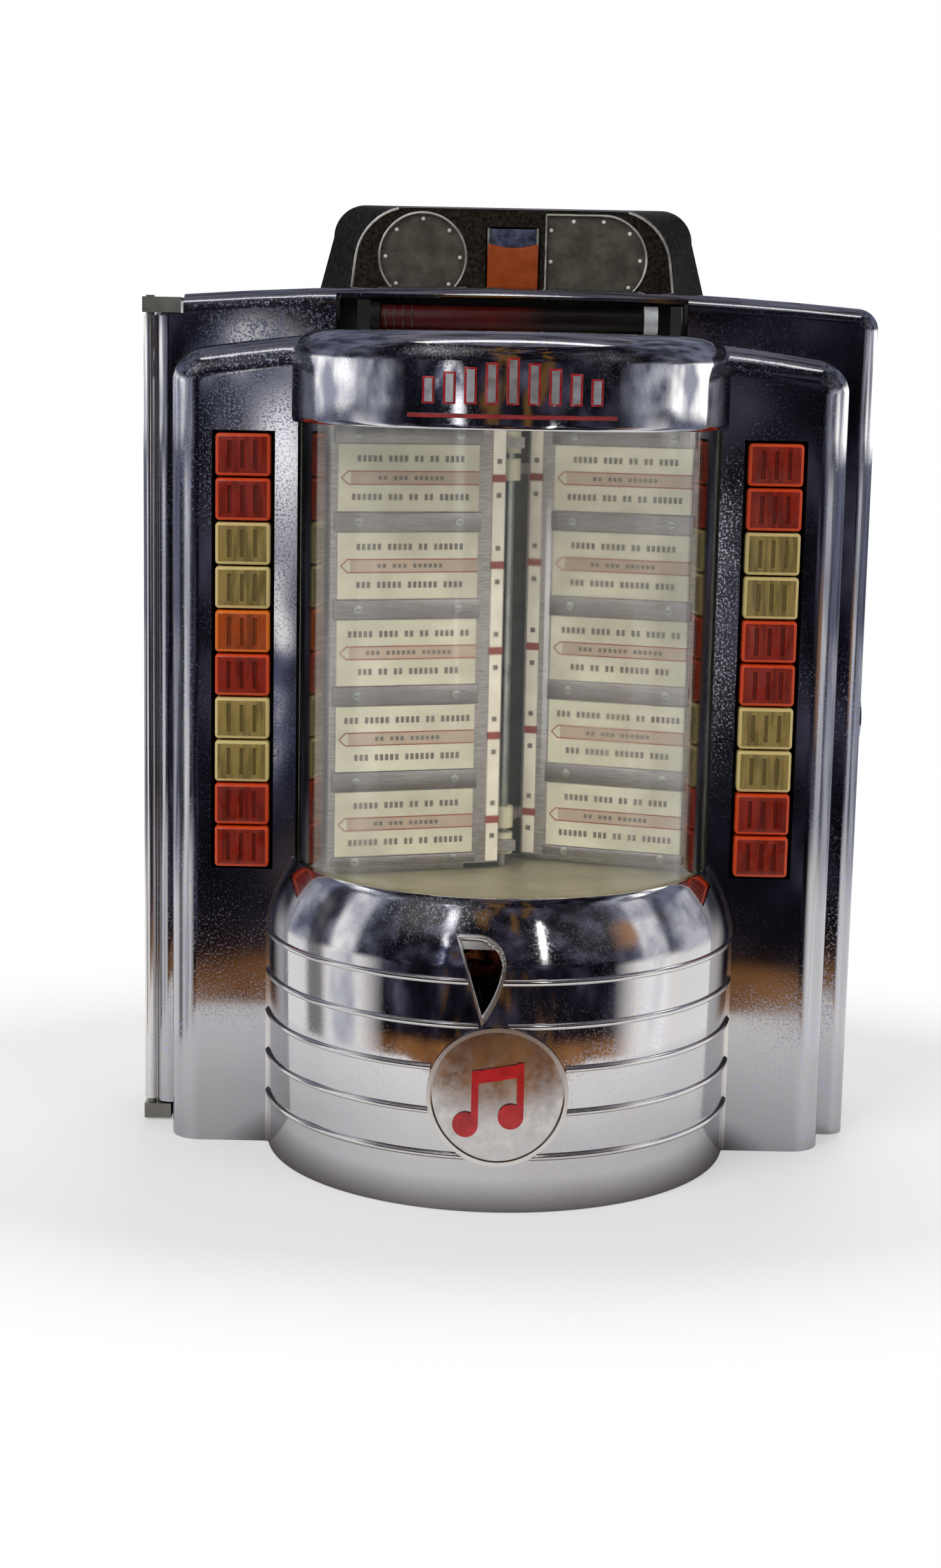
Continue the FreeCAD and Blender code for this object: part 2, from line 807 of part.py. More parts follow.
def page_tray():
    """The open box behind the window, with a round floor that reaches into the drum."""
    low, front = S.shelf, PANEL_BACK + S.seat_gap
    outside = block("tray_outside", (-S.tray_half, front, low), (S.tray_half, S.tray_rear, S.tray_top))
    inside = block("tray_inside",
                   (-(S.tray_half - S.sheet), front - BEYOND, low + S.shelf_thick),
                   (S.tray_half - S.sheet, S.tray_rear - S.sheet, S.tray_top + BEYOND))
    floor = cut("tray_floor",
                around_axis("tray_floor_round", -S.seat_gap, S.window_radius, low, low + S.shelf_thick),
                block("tray_floor_behind", (-S.drum_radius, front + S.sheet, 0),
                      (S.drum_radius, S.drum_radius * 2, S.tray_top)))
    reach = S.tray_half + S.flange_reach
    flanges = [block("tray_left_flange", (-reach, front, low),
                     (-(S.tray_half - S.sheet), front + S.sheet, S.window_top)),
               block("tray_right_flange", (S.tray_half - S.sheet, front, low),
                     (reach, front + S.sheet, S.window_top))]
    bracket = block("tray_bracket", (S.spine_out - S.bush_radius, S.spine_back - S.bush_radius,
                                     S.spine_top - S.sheet),
                    (S.spine_out + S.bush_radius, S.tray_rear - S.sheet / 2, S.spine_top + S.sheet))
    shape = join("tray_joined", cut("tray_hollow", outside, inside), floor, bracket, *flanges)
    spindle_hole = rod("tray_spindle_hole", S.spine_radius,
                       (S.spine_out, S.spine_back, S.spine_top - S.sheet - BEYOND), S.sheet + BEYOND)
    holes = [rod(f"tray_screw_hole_{index}", S.screw_radius + S.pin_fit, (x, front - BEYOND, z),
                 S.sheet + 2 * BEYOND, FRONT)
             for index, (x, z) in enumerate(cover_screw_places())]
    return keep(cut("page_tray", shape, spindle_hole, *holes), "page_tray")


def cover_screws():
    """Screws that hold the tray's flanges to the back of the button panel."""
    back = PANEL_BACK + S.seat_gap + S.sheet
    start = S.wall / 3 + S.seat_gap
    screws = []
    for index, (x, z) in enumerate(cover_screw_places()):
        shank = rod(f"screw_shank_{index}", S.screw_radius, (x, start, z), back - start + S.sheet / 2, FRONT)
        head = rod(f"screw_head_{index}", S.screw_head, (x, back, z), S.sheet, FRONT)
        screws.append(join(f"screw_{index}", shank, head))
    return keep(group("cover_screws", *screws), "cover_screws")


def page_spindle():
    low = S.shelf + S.shelf_thick
    return keep(rod("page_spindle", S.spine_radius, (S.spine_out, S.spine_back, low),
                    S.spine_top - low), "page_spindle")


def leaf(side, face, seen, top_bush, low_bush, angle):
    """One page on cranked arms. It is drawn along +X from the spindle and turned to its rest angle.

    face is the distance of the seen side from the spindle, and seen is +1 where that side looks
    away from the spindle.
    """
    near_side = face - S.leaf_thick if seen > 0 else face
    far_side = near_side + S.leaf_thick
    plate = block(f"{side}_plate", (S.leaf_near, near_side, S.leaf_floor),
                  (S.leaf_far, far_side, S.leaf_top))
    tab = block(f"{side}_tab", (S.tab_near, near_side, S.leaf_top - BEYOND),
                (S.tab_far, far_side, S.tab_top))
    pieces = [plate, tab]
    bores = []
    for index, low in enumerate((top_bush, low_bush)):
        arm_low, arm_high = low + S.arm_inset, low + S.bush_tall - S.arm_inset
        pieces.append(rod(f"{side}_bush_{index}", S.bush_radius, (0, 0, low), S.bush_tall))
        pieces.append(block(f"{side}_arm_{index}", (-S.arm_half, 0, arm_low),
                            (S.arm_half, far_side, arm_high)))
        pieces.append(block(f"{side}_foot_{index}", (-S.arm_half, near_side, arm_low),
                            (S.leaf_near + BEYOND, far_side, arm_high)))
        bores.append(rod(f"{side}_bore_{index}", S.spine_radius + S.pin_fit,
                         (0, 0, low - BEYOND), S.bush_tall + 2 * BEYOND))
    surface = far_side if seen > 0 else near_side
    outward = S.card_proud if seen > 0 else -S.card_proud
    for index in range(CARD_COUNT):
        middle = S.card_low + S.card_pitch * index
        ends = sorted((surface - outward, surface + outward), key=lambda size: size.number)
        pieces.append(block(f"{side}_card_{index}", (S.card_near, ends[0], middle - S.card_tall / 2),
                            (S.card_far, ends[1], middle + S.card_tall / 2)))
    shape = cut(f"{side}_leaf_shape", join(f"{side}_leaf_joined", *pieces), *bores)
    placed = group(f"{side}_leaf", shape)
    put(placed, (S.spine_out, S.spine_back, 0), ((0, 0, 1), angle))
    return keep(placed, f"{side}_leaf")


def end_boards():
    """The boards that close the stack of pages on each side."""
    floor = S.shelf + S.shelf_thick
    boards = []
    for side, near_side, start, far, angle in (
            ("left", S.left_face - S.leaf_thick * 2 - S.board_gap, S.board_near, S.board_far,
             180 + S.page_tilt),
            ("right", S.right_face + S.leaf_thick + S.board_gap, S.leaf_near, S.leaf_far, -S.page_tilt)):
        board = block(f"{side}_end_board", (start, near_side, floor),
                      (far, near_side + S.leaf_thick, S.leaf_top))
        placed = group(f"{side}_end_board_placed", board)
        boards.append(put(placed, (S.spine_out, S.spine_back, 0), ((0, 0, 1), angle)))
    return keep(group("end_boards", *boards), "end_boards")


def lamp_tube():
    return keep(rod("lamp_tube", S.lamp_radius, (-S.lamp_half, S.lamp_back, S.lamp_height),
                    S.lamp_half * 2, SIDE), "lamp_tube")


def lamp_holders():
    """A holder at each end of the lamp, on a leg that stands against the tray's back, under the box's top."""
    back = S.tray_rear - S.sheet
    holders = []
    for side, sign in (("left", -1), ("right", 1)):
        near_end, far_end = S.lamp_half, S.lamp_half + S.holder_thick
        low_x = near_end if sign > 0 else -far_end
        cup = rod(f"{side}_lamp_cup", S.lamp_radius + BEYOND, (low_x, S.lamp_back, S.lamp_height),
                  S.holder_thick, SIDE)
        arm = block(f"{side}_lamp_arm", (low_x, S.lamp_back, S.lamp_height - S.holder_thick),
                    (low_x + S.holder_thick, S.cover_rear, S.lamp_height))
        leg = block(f"{side}_lamp_leg", (low_x, back - S.sheet * 2, S.leaf_top),
                    (low_x + S.holder_thick, back, S.box_top - S.box_wall - S.door_gap))
        holders.append(join(f"{side}_lamp_holder", cup, arm, leg))
    return keep(group("lamp_holders", *holders), "lamp_holders")


# ---------------------------------------------------------------- buttons

def button(node, sign, index):
    """A keycap with its stem. It slides straight back through the switch frame."""
    at = (S.button_out * sign, 0, S.button_low + S.button_pitch * (index + 0.5))
    body = new_body(node, at)
    half_x, half_z = S.button_width / 2, (S.button_pitch - S.button_slit) / 2
    face = new_sketch(body, node + "_face", "XZ_Plane", -S.button_deep)
    outline(face, [(-half_x, -half_z), (half_x, -half_z), (half_x, half_z), (-half_x, half_z)])
    cap = pad(body, node + "_cap", face, S.button_deep + S.button_proud)
    round_edges(body, node + "_edges", cap,
                lambda ends: all(near(p.y, -S.button_proud) for p in ends), S.button_edge)
    stem = new_sketch(body, node + "_stem_outline", "XZ_Plane", -S.button_deep)
    wide, tall = S.stem_width / 2, S.stem_tall / 2
    outline(stem, [(-wide, -tall), (wide, -tall), (wide, tall), (-wide, tall)])
    pad(body, node + "_stem", stem, S.stem_length, True)
    return keep(body, node)


def switch_frame(side, sign):
    """A channel behind the panel that guides ten stems and carries the contact blades."""
    half = S.button_width / 2 + S.button_fit + S.sheet
    front, back = PANEL_BACK + S.seat_gap, FRAME_BACK + S.sheet
    low, high = S.button_low - S.stem_tall, BUTTON_HIGH + S.stem_tall
    middle = S.button_out * sign
    outside = block(f"{side}_frame_outside", (middle - half, front, low), (middle + half, back, high))
    inside = block(f"{side}_frame_inside", (middle - half + S.sheet, front - BEYOND, low + S.sheet),
                   (middle + half - S.sheet, FRAME_BACK, high - S.sheet))
    lip_outer = middle + half * sign
    lip_inner = lip_outer - S.sheet * 2 * sign
    lip_back = S.button_deep + S.stem_length + S.door_gap
    ends = sorted((lip_outer, lip_inner), key=lambda size: size.number)
    lip = block(f"{side}_frame_lip", (ends[0], back - S.sheet, low), (ends[1], lip_back, high))
    holes = []
    wide, tall = S.stem_width / 2 + S.stem_fit, S.stem_tall / 2 + S.stem_fit
    for index in range(BUTTON_COUNT):
        z = S.button_low + S.button_pitch * (index + 0.5)
        holes.append(block(f"{side}_stem_hole_{index}", (middle - wide, FRAME_BACK - BEYOND, z - tall),
                           (middle + wide, back + BEYOND, z + tall)))
    shape = join(f"{side}_frame_joined", cut(f"{side}_frame_channel", outside, inside), lip)
    return keep(cut(f"{side}_switch_frame", shape, *holes), f"{side}_switch_frame")


def contact_blades():
    """The spring blades behind the stems, riveted to the lips of both frames."""
    half = S.button_width / 2 + S.button_fit + S.sheet
    back = S.button_deep + S.stem_length + S.door_gap
    blades = []
    for side, sign in (("left", -1), ("right", 1)):
        root_x = S.button_out * sign + (half - BEYOND / 2) * sign
        tip_x = (S.button_out - S.blade_reach) * sign
        ends = sorted((root_x, tip_x), key=lambda size: size.number)
        for index in range(BUTTON_COUNT):
            z = S.button_low + S.button_pitch * (index + 0.5)
            blades.append(block(f"{side}_blade_{index}", (ends[0], back, z - S.blade_tall / 2),
                                (ends[1], back + S.blade_thick, z + S.blade_tall / 2)))
    return keep(group("contact_blades", *blades), "contact_blades")


# ---------------------------------------------------------------- back box and hinge

def back_box():
    left, right = -(S.hinge_side - S.box_inset), S.lock_side - S.box_inset
    front = S.cover_rear + S.door_gap
    outside = block("box_outside", (left, front, 0), (right, S.box_rear, S.box_top))
    inside = block("box_inside", (left + S.box_wall, front - BEYOND, S.box_wall),
                   (right - S.box_wall, BOX_BACK_INSIDE, S.box_top - S.box_wall))
    strike_y = S.lock_back + S.strike_reach
    strike = rod("box_strike_pin", S.strike_radius, (lock_inner_end() - S.cam_half, strike_y, S.lock_height),
                 right - lock_inner_end() + S.cam_half - S.box_wall / 2, SIDE)
    tools = [
        block("box_head_opening", (-(S.head_foot_half - S.head_corner), HEAD_WALL_BACK + S.wall,
                                   S.box_top - S.box_wall - BEYOND),
              (S.head_foot_half - S.head_corner, BOX_BACK_INSIDE - BEYOND, S.box_top + BEYOND)),
        block("box_ear_notch", (left - BEYOND, front - BEYOND, -BEYOND),
              (-S.ear_low_inner, S.ear_reach, S.ear_low_top)),
        block("box_return_opening", (S.mech_right + S.box_wall * 2, S.mech_front + S.box_wall, -BEYOND),
              (S.chute_right - S.box_wall, BOX_BACK_INSIDE - S.box_wall * 2, S.box_wall + BEYOND)),
        rod("box_cable_hole", S.inlet_radius + S.box_wall, (S.inlet_out, BOX_BACK_INSIDE - BEYOND,
                                                            S.inlet_height), S.box_wall + 2 * BEYOND, FRONT),
    ]
    for index, (x, z) in enumerate(((-1, 0), (1, 0), (-1, 1), (1, 1))):
        height = S.mount_high if z else S.mount_low
        tools.append(rod(f"box_mount_hole_{index}", S.mount_hole_radius,
                         (S.mount_half_width * x, BOX_BACK_INSIDE - BEYOND, height),
                         S.box_wall + 2 * BEYOND, FRONT))
    shell = join("box_with_strike", cut("box_shell", outside, inside), strike)
    return keep(cut("back_box", shell, *tools), "back_box")


def hinge_brackets():
    """The two ears that carry the hinge pins: one under the cover and one over it."""
    outer = S.hinge_out + S.barrel_radius
    front = S.hinge_back - S.barrel_radius
    brackets = []
    for name, inner, low, high, pin_low, pin_high in (
            ("low", S.ear_low_inner, S.box_wall / 2, S.ear_low_top,
             S.ear_low_top - BEYOND, S.ear_low_top + S.pin_reach),
            ("high", S.ear_high_inner, S.box_top, S.ear_high_top,
             S.box_top - S.pin_reach, S.ear_high_top + S.pin_head)):
        ear = block(f"{name}_ear", (-outer, front, low), (-inner, S.ear_reach, high))
        pin = rod(f"{name}_pin", S.pin_radius, (-S.hinge_out, S.hinge_back, pin_low), pin_high - pin_low)
        brackets.append(join(f"{name}_bracket", ear, pin))
    return keep(group("hinge_brackets", *brackets), "hinge_brackets")


def cable_grommet():
    """A rubber ring in the back of the box, where the cable from the phonograph comes in."""
    hole = S.inlet_radius + S.box_wall
    start = BOX_BACK_INSIDE - S.box_wall
    at = (S.inlet_out, start, S.inlet_height)
    body = rod("grommet_body", hole - S.pin_fit, at, S.box_rear - start, FRONT)
    lip = rod("grommet_lip", hole + S.box_wall, at, S.box_wall - S.pin_fit, FRONT)
    bore = rod("grommet_bore", S.inlet_radius, (S.inlet_out, start - BEYOND, S.inlet_height),
               S.box_rear - start + 2 * BEYOND, FRONT)
    return keep(cut("cable_grommet", join("grommet_outside", body, lip), bore), "cable_grommet")


# ---------------------------------------------------------------- coin head

def head_outline(sketch, foot_half, top_half, corner, top, floor):
    """A trapezoid with round upper corners."""
    lean = (foot_half - top_half) / (top - floor)
    corner_z = top - corner
    corner_x = foot_half - lean * (corner_z - floor)
    outline(sketch, [
        (-foot_half, floor),
        (foot_half, floor),
        (corner_x, corner_z),
        (corner_x - corner, top, corner),
        (-(corner_x - corner), top),
        (-corner_x, corner_z, corner)])
    return sketch


def head_block(name, inset, floor):
    """The coin head: a straight rear part and a face that is drawn in all round."""
    body = new_body(name)
    top = S.head_top - inset
    shoulder = new_sketch(body, name + "_shoulder", "XZ_Plane", -(S.head_shoulder + inset))
    head_outline(shoulder, S.head_foot_half - inset, S.head_top_half - inset,
                 S.head_corner - inset, top, floor)
    pad(body, name + "_pad", shoulder, S.head_rear - S.head_shoulder - inset * 2, True)
    start = new_sketch(body, name + "_loft_start", "XZ_Plane", -(S.head_shoulder + inset))
    head_outline(start, S.head_foot_half - inset, S.head_top_half - inset,
                 S.head_corner - inset, top, floor)
    face = new_sketch(body, name + "_face", "XZ_Plane", -(S.head_front + inset))
    head_outline(face, S.face_foot_half - inset, S.face_top_half - inset,
                 S.face_corner - inset, top - S.wall / 2, floor)
    loft = body.newObject("PartDesign::AdditiveLoft", name + "_loft")
    loft.Profile = start
    loft.Sections = [face]
    loft.Ruled = True
    doc.recompute()
    return body


def price_window_prism(name, inset, front, deep):
    """A round window with a straight left side."""
    disc = rod(name + "_disc", S.round_window - inset, (S.window_out, front, S.window_height), deep, FRONT)
    left = S.key_half + S.key_margin + inset
    low, high = S.window_height - S.round_window + inset, S.window_height + S.round_window - inset
    square = block(name + "_square", (left, front, low), (S.window_out, front + deep, high))
    return join(name, disc, square)


def coin_head():
    shell = cut("head_shell", head_block("head_solid", as_size(0), S.box_top),
                head_block("head_hollow", S.wall, S.box_top - BEYOND))
    front, deep = S.head_front - BEYOND, S.wall + 2 * BEYOND
    tools = [
        rod("head_round_opening", S.round_window, (-S.window_out, front, S.window_height), deep, FRONT),
        price_window_prism("head_price_opening", as_size(0), front, deep),
        block("head_key_opening", (-(S.key_half + S.key_fit), front, S.key_floor - S.key_fit),
              (S.key_half + S.key_fit, front + deep, S.key_top + S.key_fit)),
        block("head_coin_slot",
              (-S.window_out - S.coin_slot_long / 2, SLOT_MIDDLE - S.coin_slot_thick / 2,
               S.head_top - S.wall - BEYOND),
              (-S.window_out + S.coin_slot_long / 2, SLOT_MIDDLE + S.coin_slot_thick / 2,
               S.head_top + BEYOND)),
        rod("head_guide_hole", S.key_rod_radius + S.stem_fit,
            (0, GUIDE_FRONT - BEYOND, S.lever_contact), S.sheet + 2 * BEYOND, FRONT),
    ]
    guide = block("head_guide", (-S.key_half, GUIDE_FRONT, S.key_floor),
                  (S.key_half, GUIDE_FRONT + S.sheet, S.head_top - S.wall / 2))
    return keep(cut("coin_head", join("head_with_guide", shell, guide), *tools), "coin_head")


def head_windows():
    """The two window plates in the head's face, a little behind its surface."""
    front = S.head_front + S.window_sunk
    deep = S.wall - S.window_sunk
    round_plate = rod("round_window_plate", S.round_window - S.pin_fit,
                      (-S.window_out, front, S.window_height), deep, FRONT)
    price_plate = price_window_prism("price_window_plate", S.pin_fit, front, deep)
    return keep(group("head_windows", round_plate, price_plate), "head_windows")


def return_button():
    """The wide key that gives coins back. Its rod pushes the reject lever."""
    back = S.key_front + S.key_deep
    key = block("return_key", (-S.key_half, S.key_front, S.key_floor), (S.key_half, back, S.key_top))
    push = rod("return_push_rod", S.key_rod_radius, (0, back - BEYOND, S.lever_contact),
               return_rod_end() - back + BEYOND, FRONT)
    rounded = doc.addObject("Part::Fillet", "return_key_rounded")
    doc.recompute()
    rounded.Base = key
    radius = S.button_edge.number
    rounded.Edges = [(number, radius, radius) for number, edge in enumerate(key.Shape.Edges, start=1)
                     if all(near(corner.Point.y, S.key_front) for corner in edge.Vertexes)]
    return keep(join("return_button", rounded, push), "return_button")


def return_rod_end():
    return GUIDE_FRONT + S.sheet * 2


def return_spring():
    """The spring between the key and its guide, drawn as the sleeve that its coils fill."""
    start = S.key_front + S.key_deep + S.pin_fit
    length = GUIDE_FRONT - S.pin_fit - start
    return keep(cut("return_spring",
                    rod("spring_outside", S.key_rod_radius * 2, (0, start, S.lever_contact), length, FRONT),
                    rod("spring_inside", S.key_rod_radius + S.stem_fit,
                        (0, start - BEYOND, S.lever_contact), length + 2 * BEYOND, FRONT)), "return_spring")


def reject_lever():
    """The lever that the key pushes. It turns on a pin across the coin mechanism."""
    front = return_rod_end() + S.key_fit
    thick = S.sheet * 2
    plate = block("lever_plate", (-S.arm_half, front, S.lever_pivot - S.lever_tail),
                  (S.arm_half, front + thick, S.lever_contact + S.arm_half * 2))
    boss = rod("lever_boss", S.lever_boss, (-S.arm_half, front + thick / 2, S.lever_pivot),
               S.arm_half * 2, SIDE)
    bore = rod("lever_bore", S.lever_radius + S.pin_fit,
               (-(S.arm_half + BEYOND), front + thick / 2, S.lever_pivot), (S.arm_half + BEYOND) * 2, SIDE)
    return keep(cut("reject_lever", join("lever_body", plate, boss), bore), "reject_lever")


def coin_mechanism():
    """The slug rejector: a back plate, a front gate plate, rails between them and the return chute."""
    back = BOX_BACK_INSIDE - S.box_wall
    top = S.lever_pivot - S.bush_radius * 2
    left, right = S.mech_left, S.mech_right
    plate = block("mech_back_plate", (left, back - S.sheet, S.mech_floor), (right, back, top))
    gate = block("mech_gate_plate", (left + S.bush_radius, S.mech_front, S.mech_floor + S.bush_radius),
                 (right - S.bush_radius, S.mech_front + S.sheet, top - S.bush_radius))
    rails = []
    for index in range(int(DRIVING_SIZES["rail_count"])):
        low = S.mech_floor + S.rail_low + S.rail_pitch * index
        start, end = (S.rail_end, S.rail_short) if index % 2 == 0 else (S.rail_short, S.rail_end)
        rails.append(block(f"mech_rail_{index}", (left + start, S.mech_front + S.sheet / 2, low),
                           (right - end, back - S.sheet / 2, low + S.wall)))
    lever_back = return_rod_end() + S.key_fit + S.sheet
    ears = []
    for index, x in enumerate((-(S.arm_half + S.sheet + S.door_gap), S.arm_half + S.door_gap)):
        ears.append(block(f"mech_ear_{index}", (x, lever_back - S.bush_radius, top - S.wall),
                          (x + S.sheet, back, S.lever_pivot + S.bush_radius)))
        ears.append(block(f"mech_ear_foot_{index}", (x, back - S.sheet, top - S.bush_radius),
                          (x + S.sheet, back, top)))
    pin = rod("mech_lever_pin", S.lever_radius, (-(S.arm_half + S.sheet), lever_back, S.lever_pivot),
              (S.arm_half + S.sheet) * 2, SIDE)
    chute_low = S.box_wall + S.seat_gap
    chute_hollow = block("mech_chute_inside",
                         (right + S.box_wall, S.mech_front + S.box_wall, chute_low - BEYOND),
                         (S.chute_right - S.box_wall, back - S.box_wall, top + BEYOND))
    chute = cut("mech_chute",
                block("mech_chute_outside", (right, S.mech_front, chute_low), (S.chute_right, back, top)),
                chute_hollow)
    feet = [rod(f"mech_post_{index}", S.bush_radius, (left + S.mech_post_inset, back - BEYOND / 2, z),
                S.box_wall + BEYOND / 2, FRONT)
            for index, z in enumerate((S.mech_floor + S.mech_post_inset, top - S.mech_post_inset))]
    return keep(join("coin_mechanism", plate, gate, pin, chute, *rails, *ears, *feet), "coin_mechanism")


def cash_box():
    """The steel box that takes the coins. It lifts out when the cover is open."""
    front = S.tray_rear + S.door_gap * 4
    low = S.box_wall + S.seat_gap
    outside = block("cash_outside", (S.cash_left, front, low),
                    (S.cash_right, BOX_BACK_INSIDE - S.seat_gap, S.cash_top))
    inside = block("cash_inside", (S.cash_left + S.box_wall, front + S.box_wall, low + S.box_wall),
                   (S.cash_right - S.box_wall, BOX_BACK_INSIDE - S.seat_gap - S.box_wall,
                    S.cash_top + BEYOND))
    grip = rod("cash_grip_hole", S.bush_radius * 2, ((S.cash_left + S.cash_right) / 2, front - BEYOND,
                                                     S.cash_top - S.bush_radius * 4),
               S.box_wall + 2 * BEYOND, FRONT)
    return keep(cut("cash_box", outside, inside, grip), "cash_box")


# ---------------------------------------------------------------- transmitter

# a tooth's shape in shares of the gear's module
ROOT_DEPTH = 1.3
FOOT_DEPTH = 1.6
TIP_HEIGHT = 0.9
FOOT_HALF = 0.75
TIP_HALF = 0.32


def gear_body(name, at, teeth, pitch_radius):
    """A spur gear with straight-sided teeth, drawn about its own axis along +Y."""
    body = new_body(name, at)
    module = S.gear_pitch_radius * 2 / S.gear_teeth
    disc = new_sketch(body, name + "_disc_outline", "XZ_Plane")
    ring(disc, (0, 0), pitch_radius - module * ROOT_DEPTH)
    pad(body, name + "_disc", disc, S.gear_thick, True)
    tooth = new_sketch(body, name + "_tooth_outline", "XZ_Plane")
    foot, tip = module * FOOT_HALF, module * TIP_HALF
    inner, outer = pitch_radius - module * FOOT_DEPTH, pitch_radius + module * TIP_HEIGHT
    outline(tooth, [(-foot, inner), (foot, inner), (tip, outer), (-tip, outer)])
    solid = pad(body, name + "_tooth", tooth, S.gear_thick, True)
    pattern = body.newObject("PartDesign::PolarPattern", name + "_teeth")
    pattern.Originals = [solid]
    pattern.Axis = (tooth, ["N_Axis"])
    pattern.Angle = 360
    pattern.Occurrences = int(teeth.number)
    body.Tip = pattern
    doc.recompute()
    return body


def gear_back():
    return S.plate_front + S.shelf_thick + S.sheet


def pinion_radius():
    return S.gear_pitch_radius * S.pinion_teeth / S.gear_teeth


def pinion_height():
    return S.gear_height - S.gear_pitch_radius - pinion_radius() - S.tooth_gap


def drive_gear():
    """The large gear with its shaft, which runs through the plate and the contact disc."""
    wheel = gear_body("drive_wheel", (S.gear_out, gear_back(), S.gear_height), S.gear_teeth,
                      S.gear_pitch_radius)
    shaft_front = S.plate_front - S.shelf_thick - S.shaft_reach
    shaft = rod("drive_shaft", S.shaft_radius, (S.gear_out, shaft_front, S.gear_height),
                gear_back() + S.gear_thick + BEYOND - shaft_front, FRONT)
    return keep(join("drive_gear", wheel, shaft), "drive_gear")


def motor_pinion():
    """The pinion in mesh with the gear: a tooth of the gear points down into a gap between its teeth."""
    place = (S.gear_out, gear_back(), pinion_height())
    wheel = gear_body("pinion_wheel", place, S.pinion_teeth, pinion_radius())
    put(wheel, place, ((0, 1, 0), 180 / S.pinion_teeth))
    hub = rod("pinion_hub", S.shaft_radius, place, motor_front() - S.door_gap - gear_back(), FRONT)
    spindle = rod("pinion_spindle", S.shaft_radius / 2, place,
                  motor_front() + S.shaft_radius * 2 - gear_back(), FRONT)
    return keep(join("motor_pinion", wheel, hub, spindle), "motor_pinion")


def motor_front():
    return gear_back() + S.gear_thick + S.sheet


def drive_motor():
    """A flat motor on posts behind the plate. The pinion's spindle turns in it."""
    front = motor_front()
    back = BOX_BACK_INSIDE - S.box_wall
    can = rod("motor_can", S.motor_radius, (S.gear_out, front, pinion_height()), back - front, FRONT)
    bore = rod("motor_bore", S.shaft_radius / 2 + S.pin_fit, (S.gear_out, front - BEYOND, pinion_height()),
               S.shaft_radius * 2 + S.stem_fit + BEYOND, FRONT)
    plate_back = S.plate_front + S.shelf_thick
    posts = []
    for index, sign in enumerate((-1, 1)):
        at = (S.gear_out + (S.motor_radius - S.bush_radius) * sign, plate_back,
              pinion_height() - S.motor_radius / 3)
        posts.append(rod(f"motor_post_{index}", S.motor_post, at, front - plate_back + BEYOND, FRONT))
    return keep(cut("drive_motor", join("motor_joined", can, *posts), bore), "drive_motor")


def frame_low():
    return pinion_height() - S.motor_radius


def frame_high():
    return S.gear_height + S.disc_radius + S.bush_radius


def frame_posts():
    """The middles of the four posts, each a post's radius in from the plate's corners."""
    return [(S.gear_out + S.disc_radius * across, z) for across in (-1, 1)
            for z in (frame_low() + S.bush_radius, frame_high() - S.bush_radius)]


def transmitter_frame():
    """The plate that carries the disc, gear and motor, on posts from the back of the box."""
    out = S.disc_radius + S.bush_radius
    back = S.plate_front + S.shelf_thick
    plate = block("frame_plate", (S.gear_out - out, S.plate_front, frame_low()),
                  (S.gear_out + out, back, frame_high()))
    posts = [rod(f"frame_post_{index}", S.bush_radius - BEYOND, (x, back - BEYOND, z),
                 BOX_BACK_INSIDE - back + BEYOND, FRONT)
             for index, (x, z) in enumerate(frame_posts())]
    bore = rod("frame_shaft_bore", S.shaft_radius + S.pin_fit,
               (S.gear_out, S.plate_front - BEYOND, S.gear_height), S.shelf_thick + 2 * BEYOND, FRONT)
    holes = [rod(f"frame_screw_hole_{index}", S.screw_radius + S.pin_fit, (x, S.plate_front - BEYOND, z),
                 S.bush_tall + BEYOND, FRONT)
             for index, (x, z) in enumerate(frame_posts())]
    return keep(cut("transmitter_frame", join("frame_joined", plate, *posts), bore, *holes),
                "transmitter_frame")


def frame_screws():
    """Screws through the plate into its four posts."""
    screws = []
    for index, (x, z) in enumerate(frame_posts()):
        shank = rod(f"frame_screw_shank_{index}", S.screw_radius, (x, S.plate_front - S.sheet / 2, z),
                    S.bush_tall, FRONT)
        head = rod(f"frame_screw_head_{index}", S.screw_head, (x, S.plate_front - S.sheet, z),
                   S.sheet, FRONT)
        screws.append(join(f"frame_screw_{index}", shank, head))
    return keep(group("frame_screws", *screws), "frame_screws")


def contact_disc():
    """A phenolic disc with a ring of contact studs that the wiper passes over."""
    front = S.plate_front - S.shelf_thick
    body = new_body("contact_disc", (S.gear_out, front, S.gear_height))
    plate = new_sketch(body, "disc_outline", "XZ_Plane")
    ring(plate, (0, 0), S.disc_radius)
    ring(plate, (0, 0), S.shaft_radius + S.pin_fit)
    pad(body, "disc_plate", plate, S.shelf_thick, True)
    stud = new_sketch(body, "stud_outline", "XZ_Plane")
    ring(stud, (0, S.disc_radius - S.stud_inset), S.stud_radius)
    solid = pad(body, "disc_stud", stud, S.blade_thick)
    pattern = body.newObject("PartDesign::PolarPattern", "disc_studs")
    pattern.Originals = [solid]
    pattern.Axis = (stud, ["N_Axis"])
    pattern.Angle = 360
    pattern.Occurrences = 2 * BUTTON_COUNT
    body.Tip = pattern
    doc.recompute()
    return keep(body, "contact_disc")


